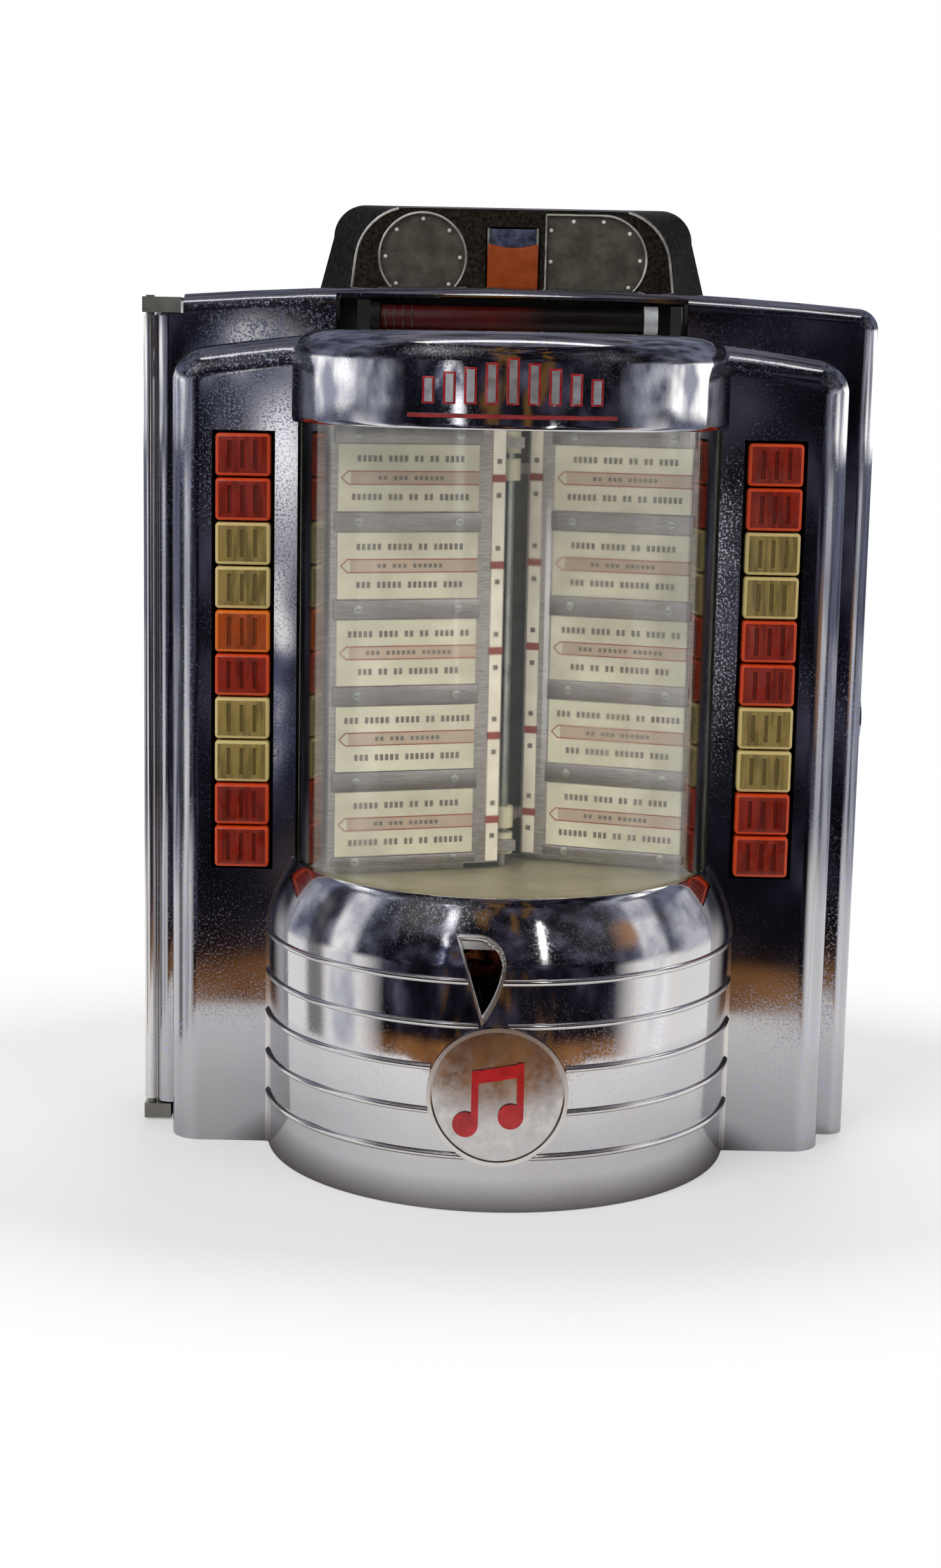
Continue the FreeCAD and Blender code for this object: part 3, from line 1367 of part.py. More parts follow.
def wiper_arm():
    """The arm on the gear's shaft that sweeps over the studs."""
    back = S.plate_front - S.shelf_thick - S.blade_thick - S.seat_gap
    front = back - S.sheet
    hub = rod("wiper_hub", S.shaft_radius * 2, (S.gear_out, front, S.gear_height), S.sheet, FRONT)
    arm = block("wiper_blade", (S.gear_out - S.shaft_radius, front, S.gear_height - S.shaft_radius * 3),
                (S.gear_out + S.shaft_radius, back, S.gear_height + S.disc_radius - S.stud_inset / 2))
    bore = rod("wiper_bore", S.shaft_radius, (S.gear_out, front - BEYOND, S.gear_height),
               S.sheet + 2 * BEYOND, FRONT)
    return keep(cut("wiper_arm", join("wiper_body", hub, arm), bore), "wiper_arm")


def terminal_strip():
    """The strip where the cable's wires are screwed down."""
    front = BOX_BACK_INSIDE - S.strip_deep
    low, high = S.strip_low, S.strip_low + S.strip_tall
    ways = int(DRIVING_SIZES["strip_ways"])
    pitch = (S.strip_right - S.strip_left - S.sheet) / ways
    base = block("strip_base", (S.strip_left, front, low), (S.strip_right, BOX_BACK_INSIDE, high))
    slots = [block(f"strip_slot_{index}",
                   (S.strip_left + S.sheet + pitch * index, front - BEYOND, low + S.sheet * 2),
                   (S.strip_left + pitch * (index + 1), front + S.strip_deep / 3, high - S.sheet * 2))
             for index in range(ways)]
    return keep(cut("terminal_strip", base, *slots), "terminal_strip")


# ---------------------------------------------------------------- lock

def lock_inner_end():
    return S.lock_side - S.wall - S.lock_long


def lock_body():
    start = lock_inner_end()
    barrel = rod("lock_barrel", S.lock_radius, (start, S.lock_back, S.lock_height), S.lock_side - start, SIDE)
    flange = rod("lock_flange_ring", S.lock_flange, (S.lock_side, S.lock_back, S.lock_height),
                 S.barrel_radius + S.hinge_out - S.lock_side, SIDE)
    nut = rod("lock_nut", S.lock_flange, (S.lock_side - S.wall * 2, S.lock_back, S.lock_height),
              S.wall, SIDE)
    bore = rod("lock_bore", S.plug_radius + S.pin_fit, (start - BEYOND, S.lock_back, S.lock_height),
               S.lock_long * 2, SIDE)
    return keep(cut("lock_body", join("lock_outside", barrel, flange, nut), bore), "lock_body")


def lock_plug():
    start = lock_inner_end()
    end = S.hinge_out + S.barrel_radius
    plug = rod("plug_round", S.plug_radius, (start, S.lock_back, S.lock_height), end - start, SIDE)
    half = S.plug_radius / 2
    keyway = block("plug_keyway", (end - S.keyway_deep, S.lock_back - S.sheet / 3, S.lock_height - half),
                   (end + BEYOND, S.lock_back + S.sheet / 3, S.lock_height + half))
    return keep(cut("lock_plug", plug, keyway), "lock_plug")


def lock_cam():
    """The hooked cam. It rests pointing up and turns down to the back, over the strike pin."""
    end = lock_inner_end() - S.pin_fit
    start = end - S.wall
    plate = block("cam_plate", (start, S.lock_back - S.cam_half, S.lock_height - S.cam_half),
                  (end, S.lock_back + S.cam_half, S.lock_height + S.cam_reach))
    slot_low = S.lock_height + S.strike_reach - S.strike_radius - S.sheet
    slot_high = S.lock_height + S.strike_reach + S.strike_radius + S.sheet / 2
    slot = block("cam_slot", (start - BEYOND, S.lock_back - S.strike_radius - S.stem_fit, slot_low),
                 (end + BEYOND, S.lock_back + S.cam_half + BEYOND, slot_high))
    return keep(cut("lock_cam", plate, slot), "lock_cam")


# ---------------------------------------------------------------- assembly

def build():
    front_cover()
    hinge_barrel()
    lower_drum()
    medallion()
    teardrop_badge()
    page_window()
    top_cap()
    cap_ornament()
    page_tray()
    cover_screws()
    page_spindle()
    bush_pitch = S.bush_tall + S.bush_gap
    leaf("left", S.left_face, 1, S.leaf_top - bush_pitch, S.leaf_floor + S.bush_gap, 180 + S.page_tilt)
    leaf("right", S.right_face, -1, S.leaf_top - bush_pitch * 2, S.leaf_floor + S.bush_gap + bush_pitch,
         -S.page_tilt)
    end_boards()
    lamp_tube()
    lamp_holders()
    for side, sign in (("left", -1), ("right", 1)):
        for index in range(BUTTON_COUNT):
            place = BUTTON_COUNT - index
            button(f"{side}_button_{place:02d}", sign, index)
        switch_frame(side, sign)
    contact_blades()
    back_box()
    hinge_brackets()
    cable_grommet()
    coin_head()
    head_windows()
    return_button()
    return_spring()
    reject_lever()
    coin_mechanism()
    cash_box()
    drive_gear()
    motor_pinion()
    drive_motor()
    transmitter_frame()
    frame_screws()
    contact_disc()
    wiper_arm()
    terminal_strip()
    lock_body()
    lock_plug()
    lock_cam()
    doc.recompute()


def check():
    """Stops where an object has failed or a sub-part isn't a sound solid."""
    failed = [thing.Name for thing in doc.Objects if {"Invalid", "Error"} & set(thing.State)]
    assert not failed, f"failed objects: {failed}"
    for thing in subparts:
        shape = thing.Shape
        assert not shape.isNull() and shape.isValid() and shape.Solids, f"unsound shape: {thing.Label}"


def export():
    os.makedirs("parts", exist_ok=True)
    for thing in subparts:
        thing.Shape.exportStep(f"parts/{thing.Label}.step")
    print(len(subparts), "sub-parts written")


build()
check()
export()
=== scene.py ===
import bmesh
import bpy
import math
from mathutils import Matrix, Vector


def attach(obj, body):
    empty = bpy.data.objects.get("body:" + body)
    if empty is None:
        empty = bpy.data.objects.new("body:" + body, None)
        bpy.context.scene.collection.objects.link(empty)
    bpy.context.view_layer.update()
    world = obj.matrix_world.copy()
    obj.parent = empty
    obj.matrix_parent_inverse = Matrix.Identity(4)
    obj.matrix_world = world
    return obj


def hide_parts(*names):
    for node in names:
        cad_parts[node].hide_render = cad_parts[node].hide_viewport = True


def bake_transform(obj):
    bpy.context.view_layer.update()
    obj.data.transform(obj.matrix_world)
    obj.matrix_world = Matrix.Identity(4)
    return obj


# The jukebox wall box selector, dressed over its CAD frame. Lengths are in millimetres until a
# mesh is finished. Materials, camera, lamps and stage are in metres.

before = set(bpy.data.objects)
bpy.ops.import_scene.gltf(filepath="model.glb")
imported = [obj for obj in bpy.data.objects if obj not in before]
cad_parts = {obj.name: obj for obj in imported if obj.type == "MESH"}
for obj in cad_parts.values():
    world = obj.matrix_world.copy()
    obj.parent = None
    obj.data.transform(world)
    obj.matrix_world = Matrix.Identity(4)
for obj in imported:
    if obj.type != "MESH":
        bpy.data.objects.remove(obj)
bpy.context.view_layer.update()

MM = 0.001
ROUND_BACK = 12.0           # how far behind the panel the drum, window and cap have their axis
DRUM_RADIUS = 86.0
DRUM_STRAIGHT = 86.0        # height up to which the drum's side is upright
DRUM_TOP = 109.0
DRUM_WALL = 2.5
DRUM_FLOOR_HOLE = 8.0
SEAT_OUTER, SEAT_INNER, SEAT_HEIGHT, SEAT_WALL = 75.8, 73.2, 100.0, 2.0     # for the window's foot
NECK_RADIUS = 76.95         # the drum at its top, where the window stands
SHOULDER_BULGE = 1.3
RIB_HEIGHTS = [20.0 + 15.5 * step for step in range(5)]
RIB_RADIUS = 1.2
MEDAL_HEIGHT, MEDAL_RADIUS, MEDAL_SIGN_RADIUS = 42.0, 24.7, 22.6
TAIL_STOPS, HEAD_STOPS, TAIL_TOP = (-7.0, 3.1), (-10.6, 1.0), 70.0      # ribs beside the teardrop
BADGE_RAISED = 1.75         # how far out of the drum the badges' raised parts begin
DROP_FIELD = 1.7            # how far out of the drum the teardrop's sunk field lies
TRAY_FLOOR = 102.6
TAB_FOOT = 267.2            # height at which a page's finger tab begins
BUSH_RADIUS = 4.6

CAP_RADIUS, CAP_WALL, CAP_FOOT = 79.0, 2.5, 267.6
CAP_ROLL_RADIUS, CAP_ROLL_HEIGHT = 10.0, 290.0
DOME_INNER, DOME_OUTER, DOME_LOW, DOME_HIGH, DOME_REAR = 73.5, 75.5, 102.0, 284.0, 2.5
BAR_PITCH, BAR_HALF, BAR_FRONT, BAR_REAR = 7.0, 2.1, 79.55, 77.5
BAR_FOOT, BAR_TOP, BAR_STEP = 275.9, 291.3, 1.6
ORNAMENT_FACE, ORNAMENT_LINE_TOP = 80.0, 274.0

SPINDLE = (0.5, 30.0, 0.0)
LEFT_ANGLE, RIGHT_ANGLE = 198.0, 342.0
LEFT_FACE, RIGHT_FACE = 7.6, 10.7
LEAF_LOW, LEAF_HIGH = 105.2, 266.4
CARD_NEAR, CARD_FAR, CARD_TALL, CARD_PITCH, CARD_LOW = 14.5, 67.5, 24.0, 31.75, 121.0
CARD_LONG = CARD_FAR - CARD_NEAR
CARD_COUNT = 5
ROW_OFF = 6.9               # how far over and under a card's middle the rows of dashes stand
BAND_HALF, BAND_POINT, BAND_TIP = 2.35, 3.6, 1.2
LINE_HALF = 0.2
WORD_GAP, STROKE_PITCH, STROKE_LONG = 1.9, 1.95, 1.25
CLAMP_HALF, CLAMP_PAST, CLAMP_SCREW_IN, CLAMP_SCREW = 3.5, 1.2, 7.5, 1.7
STRIP_WIDE = 4.6

KEY_OUT, KEY_LOW, KEY_PITCH, KEY_COUNT = 95.3, 105.0, 15.85, 10
KEY_WIDE, KEY_TALL, KEY_FRONT, KEY_REAR, STEM_END = 19.7, 15.15, -2.5, 5.5, 25.7
KEY_CROWN, KEY_RIM = 0.45, 1.0
STEM_HALF_WIDE, STEM_HALF_TALL = 4.0, 3.0
GROOVES = (-4.7, 0.0, 4.7)
GROOVE_HALF, GROOVE_REACH, GROOVE_DEPTH = 0.75, 5.0, 0.55
LEFT_COLOURS = "rrccorccrr"
RIGHT_COLOURS = "rrccrrccrr"

BLADE_ROOT, BLADE_TIP, BLADE_FRONT, BLADE_THICK, BLADE_HALF = 107.65, 90.5, 26.0, 0.4, 2.5
BEND_START, BEND_END = 105.1, 99.7
RIVET_OUT, CONTACT_OUT = 106.4, 93.2

HEAD_FRONT, HEAD_TOP, HEAD_CORNER, HEAD_CORNER_OUT = 47.0, 347.0, 22.0, 37.5
HEAD_SIDE_IN, HEAD_SIDE_UP = 5.0, 41.6      # how the head's sides lean: in, over a rise
HEAD_FOOT_OUT, HEAD_FOOT = 61.1, 305.6
# The first wire is the painted highlight line round the head's face.
HIGHLIGHT_WIRE, RING_WIRE, BAR_WIRE = 0.6, 0.5, 0.4
WINDOW_OUT, WINDOW_HEIGHT, WINDOW_RADIUS = 33.5, 328.0, 16.2
PRICE_LEFT = 12.2
BEAD_RING, BEAD_RADIUS, BEAD_FRONT = 13.9, 0.8, 48.3

RETURN_HALF, RETURN_DIP, RETURN_DIP_FOOT = 9.5, 1.7, 331.0
SPRING_FRONT, SPRING_BACK, SPRING_HEIGHT = 51.75, 59.4, 322.0
SPRING_WIRE, SPRING_RADIUS, SPRING_TURNS, SPRING_STEPS = 0.35, 3.3, 5, 24

LAMP_RADIUS, LAMP_HALF, LAMP_BACK, LAMP_HEIGHT = 4.9, 48.0, 27.0, 305.0
LAMP_RING_COUNT, LAMP_RING_FIRST, LAMP_RING_PITCH, LAMP_RING_WIDE = 4, -46.5, 3.2, 0.9
SHIELD_FRONT, SHIELD_BACK, SHIELD_LOW, SHIELD_HIGH = 33.4, 34.2, 291.5, 312.8
SHIELD_PLATES = ((-47.6, 47.6), (-63.4, -53.4), (53.4, 63.4))
SHIELD_ARM_GAP = (299.7, 305.3)             # heights between which the holders' arms pass

SHARP_ANGLE = 32
TURN_STEP = math.radians(4) / 1.5

# Camera, floor and mirrored room, in metres.
CAMERA_PLACE = (-0.00864, -0.87632, 0.28874)
CAMERA_TURNS = (0.196, 80.214, 1.145)       # heading, pitch and roll
LENS = 55.77
FLOOR_HALF = 12
# The second grey is the painted shadow that the drum's foot mirrors.
FLOOR_GREY, FOOT_PAINTED_SHADOW = (0.86, 0.86, 0.86, 1), (0.14, 0.12, 0.12, 1)
FLOOR_STRETCH, FLOOR_SHIFT = (0.8, 1.25, 1), (0, -0.05, 0)
FLOOR_FADE, FOOT_RING = (0.12, 0.32), (0.086, 0.104)
FLOOR_WHITE_NEAR = 0.35
ROOM_RADIUS, ROOM_HEIGHT, ROOM_LIFT = 0.25, 0.62, 0.001
ROOM_FLOOR = ((-0.17, -0.25, 0.0008), (0.17, -0.195, 0.0012))
BRIGHT_CARD, BRIGHT_CARD_TURN = ((-0.005, -0.243, 0.11), (0.005, -0.242, 0.24)), 19


# ---------------------------------------------------------------- shader tools

def tint(text):
    """A colour written as on a paint card, turned into the scene's linear values."""
    parts = [int(text[i:i + 2], 16) / 255 for i in (0, 2, 4)]
    linear = [p / 12.92 if p <= 0.04045 else ((p + 0.055) / 1.055) ** 2.4 for p in parts]
    return (*linear, 1.0)


class Nodes:
    """A node tree built up from small steps. A value is a socket, a number, a paint or four numbers."""

    def __init__(self, tree):
        self.tree = tree

    def put(self, value, socket):
        """Links one socket to another, or sets a value in it."""
        if isinstance(value, bpy.types.NodeSocket):
            self.tree.links.new(value, socket)
        else:
            socket.default_value = tint(value) if isinstance(value, str) else value

    def add(self, kind, values, output=0, **settings):
        """Adds a node, puts values in its inputs and gives one of its outputs."""
        node = self.tree.nodes.new(kind)
        for key, setting in settings.items():
            setattr(node, key, setting)
        for key, value in values.items():
            self.put(value, node.inputs[key])
        return node.outputs[output]

    def math(self, operation, *values):
        return self.add("ShaderNodeMath", dict(enumerate(values)), operation=operation)

    def times(self, first, second):
        return self.math("MULTIPLY", first, second)

    def mix(self, factor, first, second):
        """Goes from the first colour to the second."""
        return self.add("ShaderNodeMix", {0: factor, 6: first, 7: second}, 2, data_type="RGBA")

    def choose(self, factor, first, second):
        """Goes from the first shader to the second."""
        return self.add("ShaderNodeMixShader", {0: factor, 1: first, 2: second})


class Finish(Nodes):
    """A material with one Principled shader."""

    def __init__(self, name, colour, metallic=0.0, roughness=0.5, **sockets):
        self.material = bpy.data.materials.new(name)
        self.material.use_nodes = True
        super().__init__(self.material.node_tree)
        self.shader = self.tree.nodes["Principled BSDF"]
        self.set("Metallic", metallic)
        self.colour(colour)
        self.roughness(roughness)
        for socket, value in sockets.items():
            self.set(socket.replace("_", " "), value)
        self.place = self.add("ShaderNodeTexCoord", {}, "Object")
        self.relief = None

    def set(self, socket, value):
        self.put(value, self.shader.inputs[socket])

    def colour(self, value):
        self.set("Base Color", value)

    def roughness(self, value):
        self.set("Roughness", value)

    def stretched(self, scale, shift=(0, 0, 0)):
        """The object's own coordinates, stretched and then shifted."""
        values = {"Vector": self.place, "Location": shift, "Scale": scale}
        return self.add("ShaderNodeMapping", values, "Vector")

    def noise(self, scale, detail=3.0, rough=0.55, stretch=None):
        place = self.stretched(stretch) if stretch else self.place
        values = {"Vector": place, "Scale": scale, "Detail": detail, "Roughness": rough}
        return self.add("ShaderNodeTexNoise", values, "Fac")

    def ramp(self, factor, *stops):
        """A value turned into colours or greys. Each stop is a place and a colour or grey."""
        node = self.tree.nodes.new("ShaderNodeValToRGB")
        elements = node.color_ramp.elements
        while len(elements) < len(stops):
            elements.new(0.5)
        for element, (place, value) in zip(elements, stops):
            element.position = place
            element.color = tint(value) if isinstance(value, str) else (value, value, value, 1)
        self.put(factor, node.inputs["Fac"])
        return node.outputs["Color"]

    def grain(self, scale, low, high, detail=3, stretch=None):
        """Noise that runs between two paints or greys."""
        return self.ramp(self.noise(scale, detail, stretch=stretch), (0.3, low), (0.7, high))

    def rise(self, value, start, end):
        """Goes from 0 to 1 as a value passes from start to end."""
        return self.ramp(value, (start, 0.0), (end, 1.0))

    def fall(self, value, start, end):
        """Goes from 1 to 0 as a value passes from start to end."""
        return self.ramp(value, (start, 1.0), (end, 0.0))

    def axes(self):
        parts = self.add("ShaderNodeSeparateXYZ", {0: self.place}).node.outputs
        return parts["X"], parts["Y"], parts["Z"]

    def off(self, value, place):
        """How far a value is from a place."""
        return self.math("ABSOLUTE", self.math("SUBTRACT", value, place))

    def distance(self, *pairs):
        """The root of the sum of squares of values, each a socket less a number."""
        total = None
        for socket, place in pairs:
            part = self.math("POWER", self.off(socket, place), 2.0)
            total = part if total is None else self.math("ADD", total, part)
        return self.math("SQRT", total)

    def bump(self, height, depth, strength=1.0):
        """Relief of a depth in millimetres. Later relief is laid over the earlier."""
        values = {"Height": height, "Strength": strength, "Distance": depth * MM}
        if self.relief is not None:
            values["Normal"] = self.relief
        self.relief = self.add("ShaderNodeBump", values, "Normal")
        self.set("Normal", self.relief)

    def skin(self, scale, low, high, fine, depth=0.02, strength=0.4):
        """Roughness that runs between two values, under a fine relief."""
        self.roughness(self.grain(scale, low, high))
        self.bump(self.noise(fine), depth, strength)

    def surface(self, socket):
        """Shows something else in place of the shader."""
        self.put(socket, self.tree.nodes["Material Output"].inputs["Surface"])

    def shine(self, colour, strength=1.0):
        """Shows plain light of a colour in place of the shader."""
        self.surface(self.add("ShaderNodeEmission", {"Color": colour, "Strength": strength}))


# ---------------------------------------------------------------- finishes

def chrome(name, haze, pits, shine, plate=("bdbcbe", "c4c2c0", "b3aeae"), ripple=0.12):
    """Old chrome plate: mirror bright, with patches of pale pits and a faint ripple."""
    made = Finish(name, "c0bebe", 1.0, shine)
    patch = made.ramp(made.noise(15, 5, 0.6), (0.40, 0.2), (0.60, 1.0))
    pit = made.rise(made.noise(1150, 3, 0.6), 0.51, 0.65)
    pitted = made.times(made.times(pit, patch), pits)
    tarnish = made.ramp(made.noise(9), (0.35, plate[0]), (0.6, plate[1]), (0.8, plate[2]))
    made.colour(made.mix(pitted, tarnish, "b2bde6"))
    hazed = made.times(made.times(patch, made.noise(240, 4)), haze)
    made.roughness(made.math("ADD", made.math("ADD", hazed, made.times(pitted, 0.32)), shine))
    made.bump(pitted, 0.008)
    made.bump(made.noise(24, 2), ripple, 0.35)
    return made.material


def out_of_axis(made):
    """How far a point is from the drum's axis, with its place across and its height."""
    x, y, z = made.axes()
    return made.distance((x, 0.0), (y, ROUND_BACK * MM)), x, z


def badge_enamel():
    """A chrome badge whose raised sign is filled with red enamel."""
    made = Finish("badge_red_and_chrome", "c9cbd0", 1.0, 0.16)
    out, x, z = out_of_axis(made)
    raised = made.math("GREATER_THAN", out, (DRUM_RADIUS + BADGE_RAISED) * MM)
    inside = made.math("LESS_THAN", made.distance((x, 0.0), (z, MEDAL_HEIGHT * MM)), MEDAL_SIGN_RADIUS * MM)
    sign = made.times(raised, inside)
    brushed = made.grain(180, "bdbbba", "cfcccb", 4)
    enamel = made.grain(260, "8e1218", "b41c20")
    rim = made.math("SUBTRACT", raised, sign)
    made.colour(made.mix(rim, made.mix(sign, brushed, enamel), "e4e1dd"))
    made.set("Metallic", made.math("SUBTRACT", 1.0, sign))
    made.roughness(made.mix(rim, made.grain(300, 0.12, 0.24), (0.3, 0.3, 0.3, 1)))
    made.bump(made.noise(700), 0.02, 0.4)
    return made.material


def drop_finish():
    """Chrome rim and a dark recessed field with a coppery head."""
    made = Finish("drop_dark_field", "c9cbd0", 1.0, 0.14)
    out, _, z = out_of_axis(made)
    above = made.math("MAXIMUM", made.math("SUBTRACT", z, DRUM_STRAIGHT * MM), 0.0)
    lean = (DRUM_RADIUS - NECK_RADIUS) / (DRUM_TOP - DRUM_STRAIGHT)
    cone = made.math("SUBTRACT", DRUM_RADIUS * MM, made.times(above, lean))
    field = made.math("LESS_THAN", made.math("SUBTRACT", out, cone), DROP_FIELD * MM)
    copper = made.ramp(made.noise(300, 4), (0.42, "16130f"), (0.62, "8a4c2c"))
    made.colour(made.mix(field, "e4e1dd", made.mix(made.rise(z, 0.084, 0.090), "121214", copper)))
    made.roughness(made.mix(field, (0.3, 0.3, 0.3, 1), made.grain(300, 0.1, 0.28)))
    made.bump(made.noise(900), 0.02, 0.4)
    return made.material


def ornament_finish():
    """Satin bars with red enamel down their sides, over a red line."""
    made = Finish("ornament_satin_and_red", "d2d2d4", 1.0, 0.4)
    out, _, z = out_of_axis(made)
    red = made.math("MAXIMUM", made.math("LESS_THAN", out, ORNAMENT_FACE * MM),
                    made.math("LESS_THAN", z, ORNAMENT_LINE_TOP * MM))
    made.colour(made.mix(red, made.grain(200, "c6c6c8", "e2e2e4"), made.grain(200, "6e1114", "8e1c1e")))
    made.set("Metallic", made.math("SUBTRACT", 1.0, red))
    made.skin(300, 0.34, 0.5, 700)
    return made.material


def clear_dome():
    """Clear acrylic, a little scratched, that lets light through to what is behind it."""
    made = Finish("clear_acrylic_dome", "f6f7f4", 0.0, 0.03, IOR=1.49, Transmission_Weight=1.0)
    made.roughness(made.ramp(made.noise(30, 5), (0.35, 0.015), (0.8, 0.09)))
    made.bump(made.noise(9, 2), 0.25, 0.12)
    through = made.add("ShaderNodeBsdfTransparent", {"Color": (0.93, 0.94, 0.92, 1)})
    shadow = made.add("ShaderNodeLightPath", {}, "Is Shadow Ray")
    made.surface(made.choose(shadow, made.shader.outputs[0], through))
    return made.material


def sheet_metal(name, dark, light, roughness, grain=(1, 1, 1), metallic=1.0, scale=160):
    """Plated or unplated sheet with a faint grain and dull patches."""
    made = Finish(name, light, metallic, roughness)
    dull = made.rise(made.noise(26, 4), 0.35, 0.75)
    made.colour(made.mix(dull, made.grain(scale, dark, light, 4, grain), dark))
    made.roughness(made.grain(scale, roughness - 0.08, roughness + 0.12, 3, grain))
    made.bump(made.noise(scale * 3, stretch=grain), 0.02, 0.5)
    return made.material


def paint(name, dark, light, roughness, lumps, depth):
    """Stove paint with an even orange-peel surface and rubbed patches."""
    made = Finish(name, light, 0.0, roughness, Coat_Weight=0.15)
    made.colour(made.mix(made.rise(made.noise(lumps), 0.35, 0.65), dark, light))
    made.roughness(made.ramp(made.noise(40, 4), (0.3, roughness), (0.8, roughness + 0.2)))
    made.bump(made.noise(lumps, 2), depth, 0.6)
    return made.material


def plastic(name, body, edge, worn, roughness=0.3):
    """Button plastic: a warm edge painted lighter as a highlight, a deeper face and rubbed dirty streaks up
    the face.
    """
    made = Finish(name, body, 0.0, roughness, Coat_Weight=0.12, Coat_Roughness=0.2,
                  Subsurface_Weight=0.12, Subsurface_Radius=(0.004, 0.0015, 0.0008),
                  Subsurface_Scale=1.0, Specular_IOR_Level=0.3)
    # The rounded edge takes the lighter edge paint, a painted highlight.
    rim = made.rise(made.add("ShaderNodeAttribute", {}, "Fac", attribute_name="rim_highlight"), 0.05, 0.6)
    streak = made.rise(made.noise(560, stretch=(1, 1, 0.10)), 0.44, 0.62)
    flute = made.add("ShaderNodeAttribute", {}, "Fac", attribute_name="flute")
    soiled = made.math("MAXIMUM", made.times(streak, 0.55), made.times(flute, 0.6))
    made.colour(made.mix(rim, made.mix(soiled, body, worn), edge))
    made.skin(240, roughness - 0.1, roughness + 0.18, 420, 0.03, 0.5)
    return made.material


def plain(name, dark, light, roughness, scale=220, **sockets):
    """An even finish that goes a little from dark to light, with a fine grain."""
    made = Finish(name, light, 0.0, roughness, **sockets)
    made.colour(made.grain(scale, dark, light, 4))
    made.skin(scale, roughness - 0.06, roughness + 0.12, scale * 3, strength=0.5)
    return made.material


def tray_finish():
    """Grey tray metal with a cream painted floor."""
    made = Finish("tray_grey_and_cream", "8d8f8c", 0.35, 0.42)
    floor = made.math("LESS_THAN", made.axes()[2], TRAY_FLOOR * MM)
    grey, cream = made.grain(140, "292724", "3f3b37", 4), made.grain(60, "8d8468", "a89f82", 4)
    made.colour(made.mix(floor, grey, cream))
    made.skin(120, 0.35, 0.55, 300, 0.03)
    return made.material


def holder_finish():
    """The lamp's two holders: painted dark on the left as shade, and pale on the right as a painted
    highlight.
    """
    made = Finish("lamp_holder_steel", "8d8f8c", 0.6, 0.4)
    # Painted shade on the left holder, a painted highlight on the right one.
    right_painted_highlight = made.math("GREATER_THAN", made.axes()[0], 0.0)
    made.colour(made.mix(right_painted_highlight, made.grain(200, "0e0d0c", "1f1d1b"), made.grain(200, "a5a8ac", "c8cbce")))
    made.skin(120, 0.35, 0.55, 400)
    return made.material


def lamp_glass():
    """Red lamp glass that turns nearly black towards its far end."""
    made = Finish("red_lamp_glass", "3a080a", 0.0, 0.35, Specular_IOR_Level=0.2)
    far = made.rise(made.axes()[0], 0.0, 0.012)
    made.colour(made.mix(far, made.grain(120, "2e0604", "430b08"), "0c0504"))
    made.skin(90, 0.3, 0.5, 300, strength=0.3)
    return made.material


def leaf_finish():
    """Aluminium page with cream bushes round the spindle and a black dipped finger tab."""
    made = Finish("page_aluminium_sheet", "a9aaa8", 0.8, 0.42)
    x, y, z = made.axes()
    off_axis = made.distance((x, SPINDLE[0] * MM), (y, SPINDLE[1] * MM))
    bush = made.math("LESS_THAN", off_axis, BUSH_RADIUS * MM)
    metal = made.grain(200, "827c79", "aca5a1", 4, (1, 1, 10))
    tab = made.math("GREATER_THAN", z, TAB_FOOT * MM)
    made.colour(made.mix(tab, made.mix(bush, metal, "d8d0b4"), "12110f"))
    painted = made.math("MAXIMUM", bush, tab)
    made.set("Metallic", made.times(made.math("SUBTRACT", 1.0, painted), 0.8))
    made.skin(160, 0.34, 0.52, 500)
    return made.material


COVER_CHROME = chrome("old_chrome_cover", 0.075, 0.7, 0.06, ("b1b0b2", "bab8b6", "a8a3a2"))
DRUM_CHROME = chrome("old_chrome_drum", 0.08, 0.45, 0.05, ("cccbcc", "d3d1cf", "c3bebd"))
TRIM_CHROME = chrome("bright_chrome_trim", 0.1, 0.2, 0.10)
# A lighter plate than the drum's: a painted highlight for the ribs that catch light from above. The hinge
# barrel and the drum's edge trim share it.
RIB_CHROME = chrome("rib_chrome_painted_highlight", 0.06, 0.3, 0.13, ("d8d5d2", "e2dfdb", "cac5c1"), 0.03)
# Pale nickel for the window rings, and for the painted highlight along the head's edge.
NICKEL_RINGS_AND_HIGHLIGHT = sheet_metal("pale_nickel_rings_and_edge_highlight", "c9c6bd", "ece9e0", 0.34)
BADGE = badge_enamel()
RED_ENAMEL = plain("red_enamel_fill", "7d0f14", "a81a1e", 0.22, Coat_Weight=0.6)
CLEAR = clear_dome()
HEAD_METAL = sheet_metal("dark_nickel_casting", "423f3a", "59554d", 0.34, scale=700)
WINDOW_PLATE = plain("smoked_window_plate", "3a3730", "504c42", 0.35, Coat_Weight=0.2)
BOX_PAINT = paint("hammered_grey_paint", "55595b", "63676a", 0.4, 420, 0.12)
ZINC = sheet_metal("zinc_plated_steel", "8a8c88", "b4b5ae", 0.34)
HINGE_STEEL = sheet_metal("hinge_steel", "74716b", "9c9992", 0.26, metallic=0.7, scale=60)
SPRING_STEEL = sheet_metal("spring_steel_wire", "7c7d80", "a8a9ab", 0.25)
PHENOLIC = plain("brown_phenolic", "2a1710", "4a2c1d", 0.38, scale=90)
MOTOR_STEEL = sheet_metal("motor_can_steel", "6c6e6c", "97988f", 0.4)
RUBBER = plain("black_rubber", "141414", "232323", 0.75)
TRAY = tray_finish()
HOLDER = holder_finish()
RED_LAMP = lamp_glass()
BRASS = sheet_metal("blade_brass", "8a6f36", "c2a35a", 0.3)
PAGE = leaf_finish()
ORNAMENT = ornament_finish()
DROP = drop_finish()
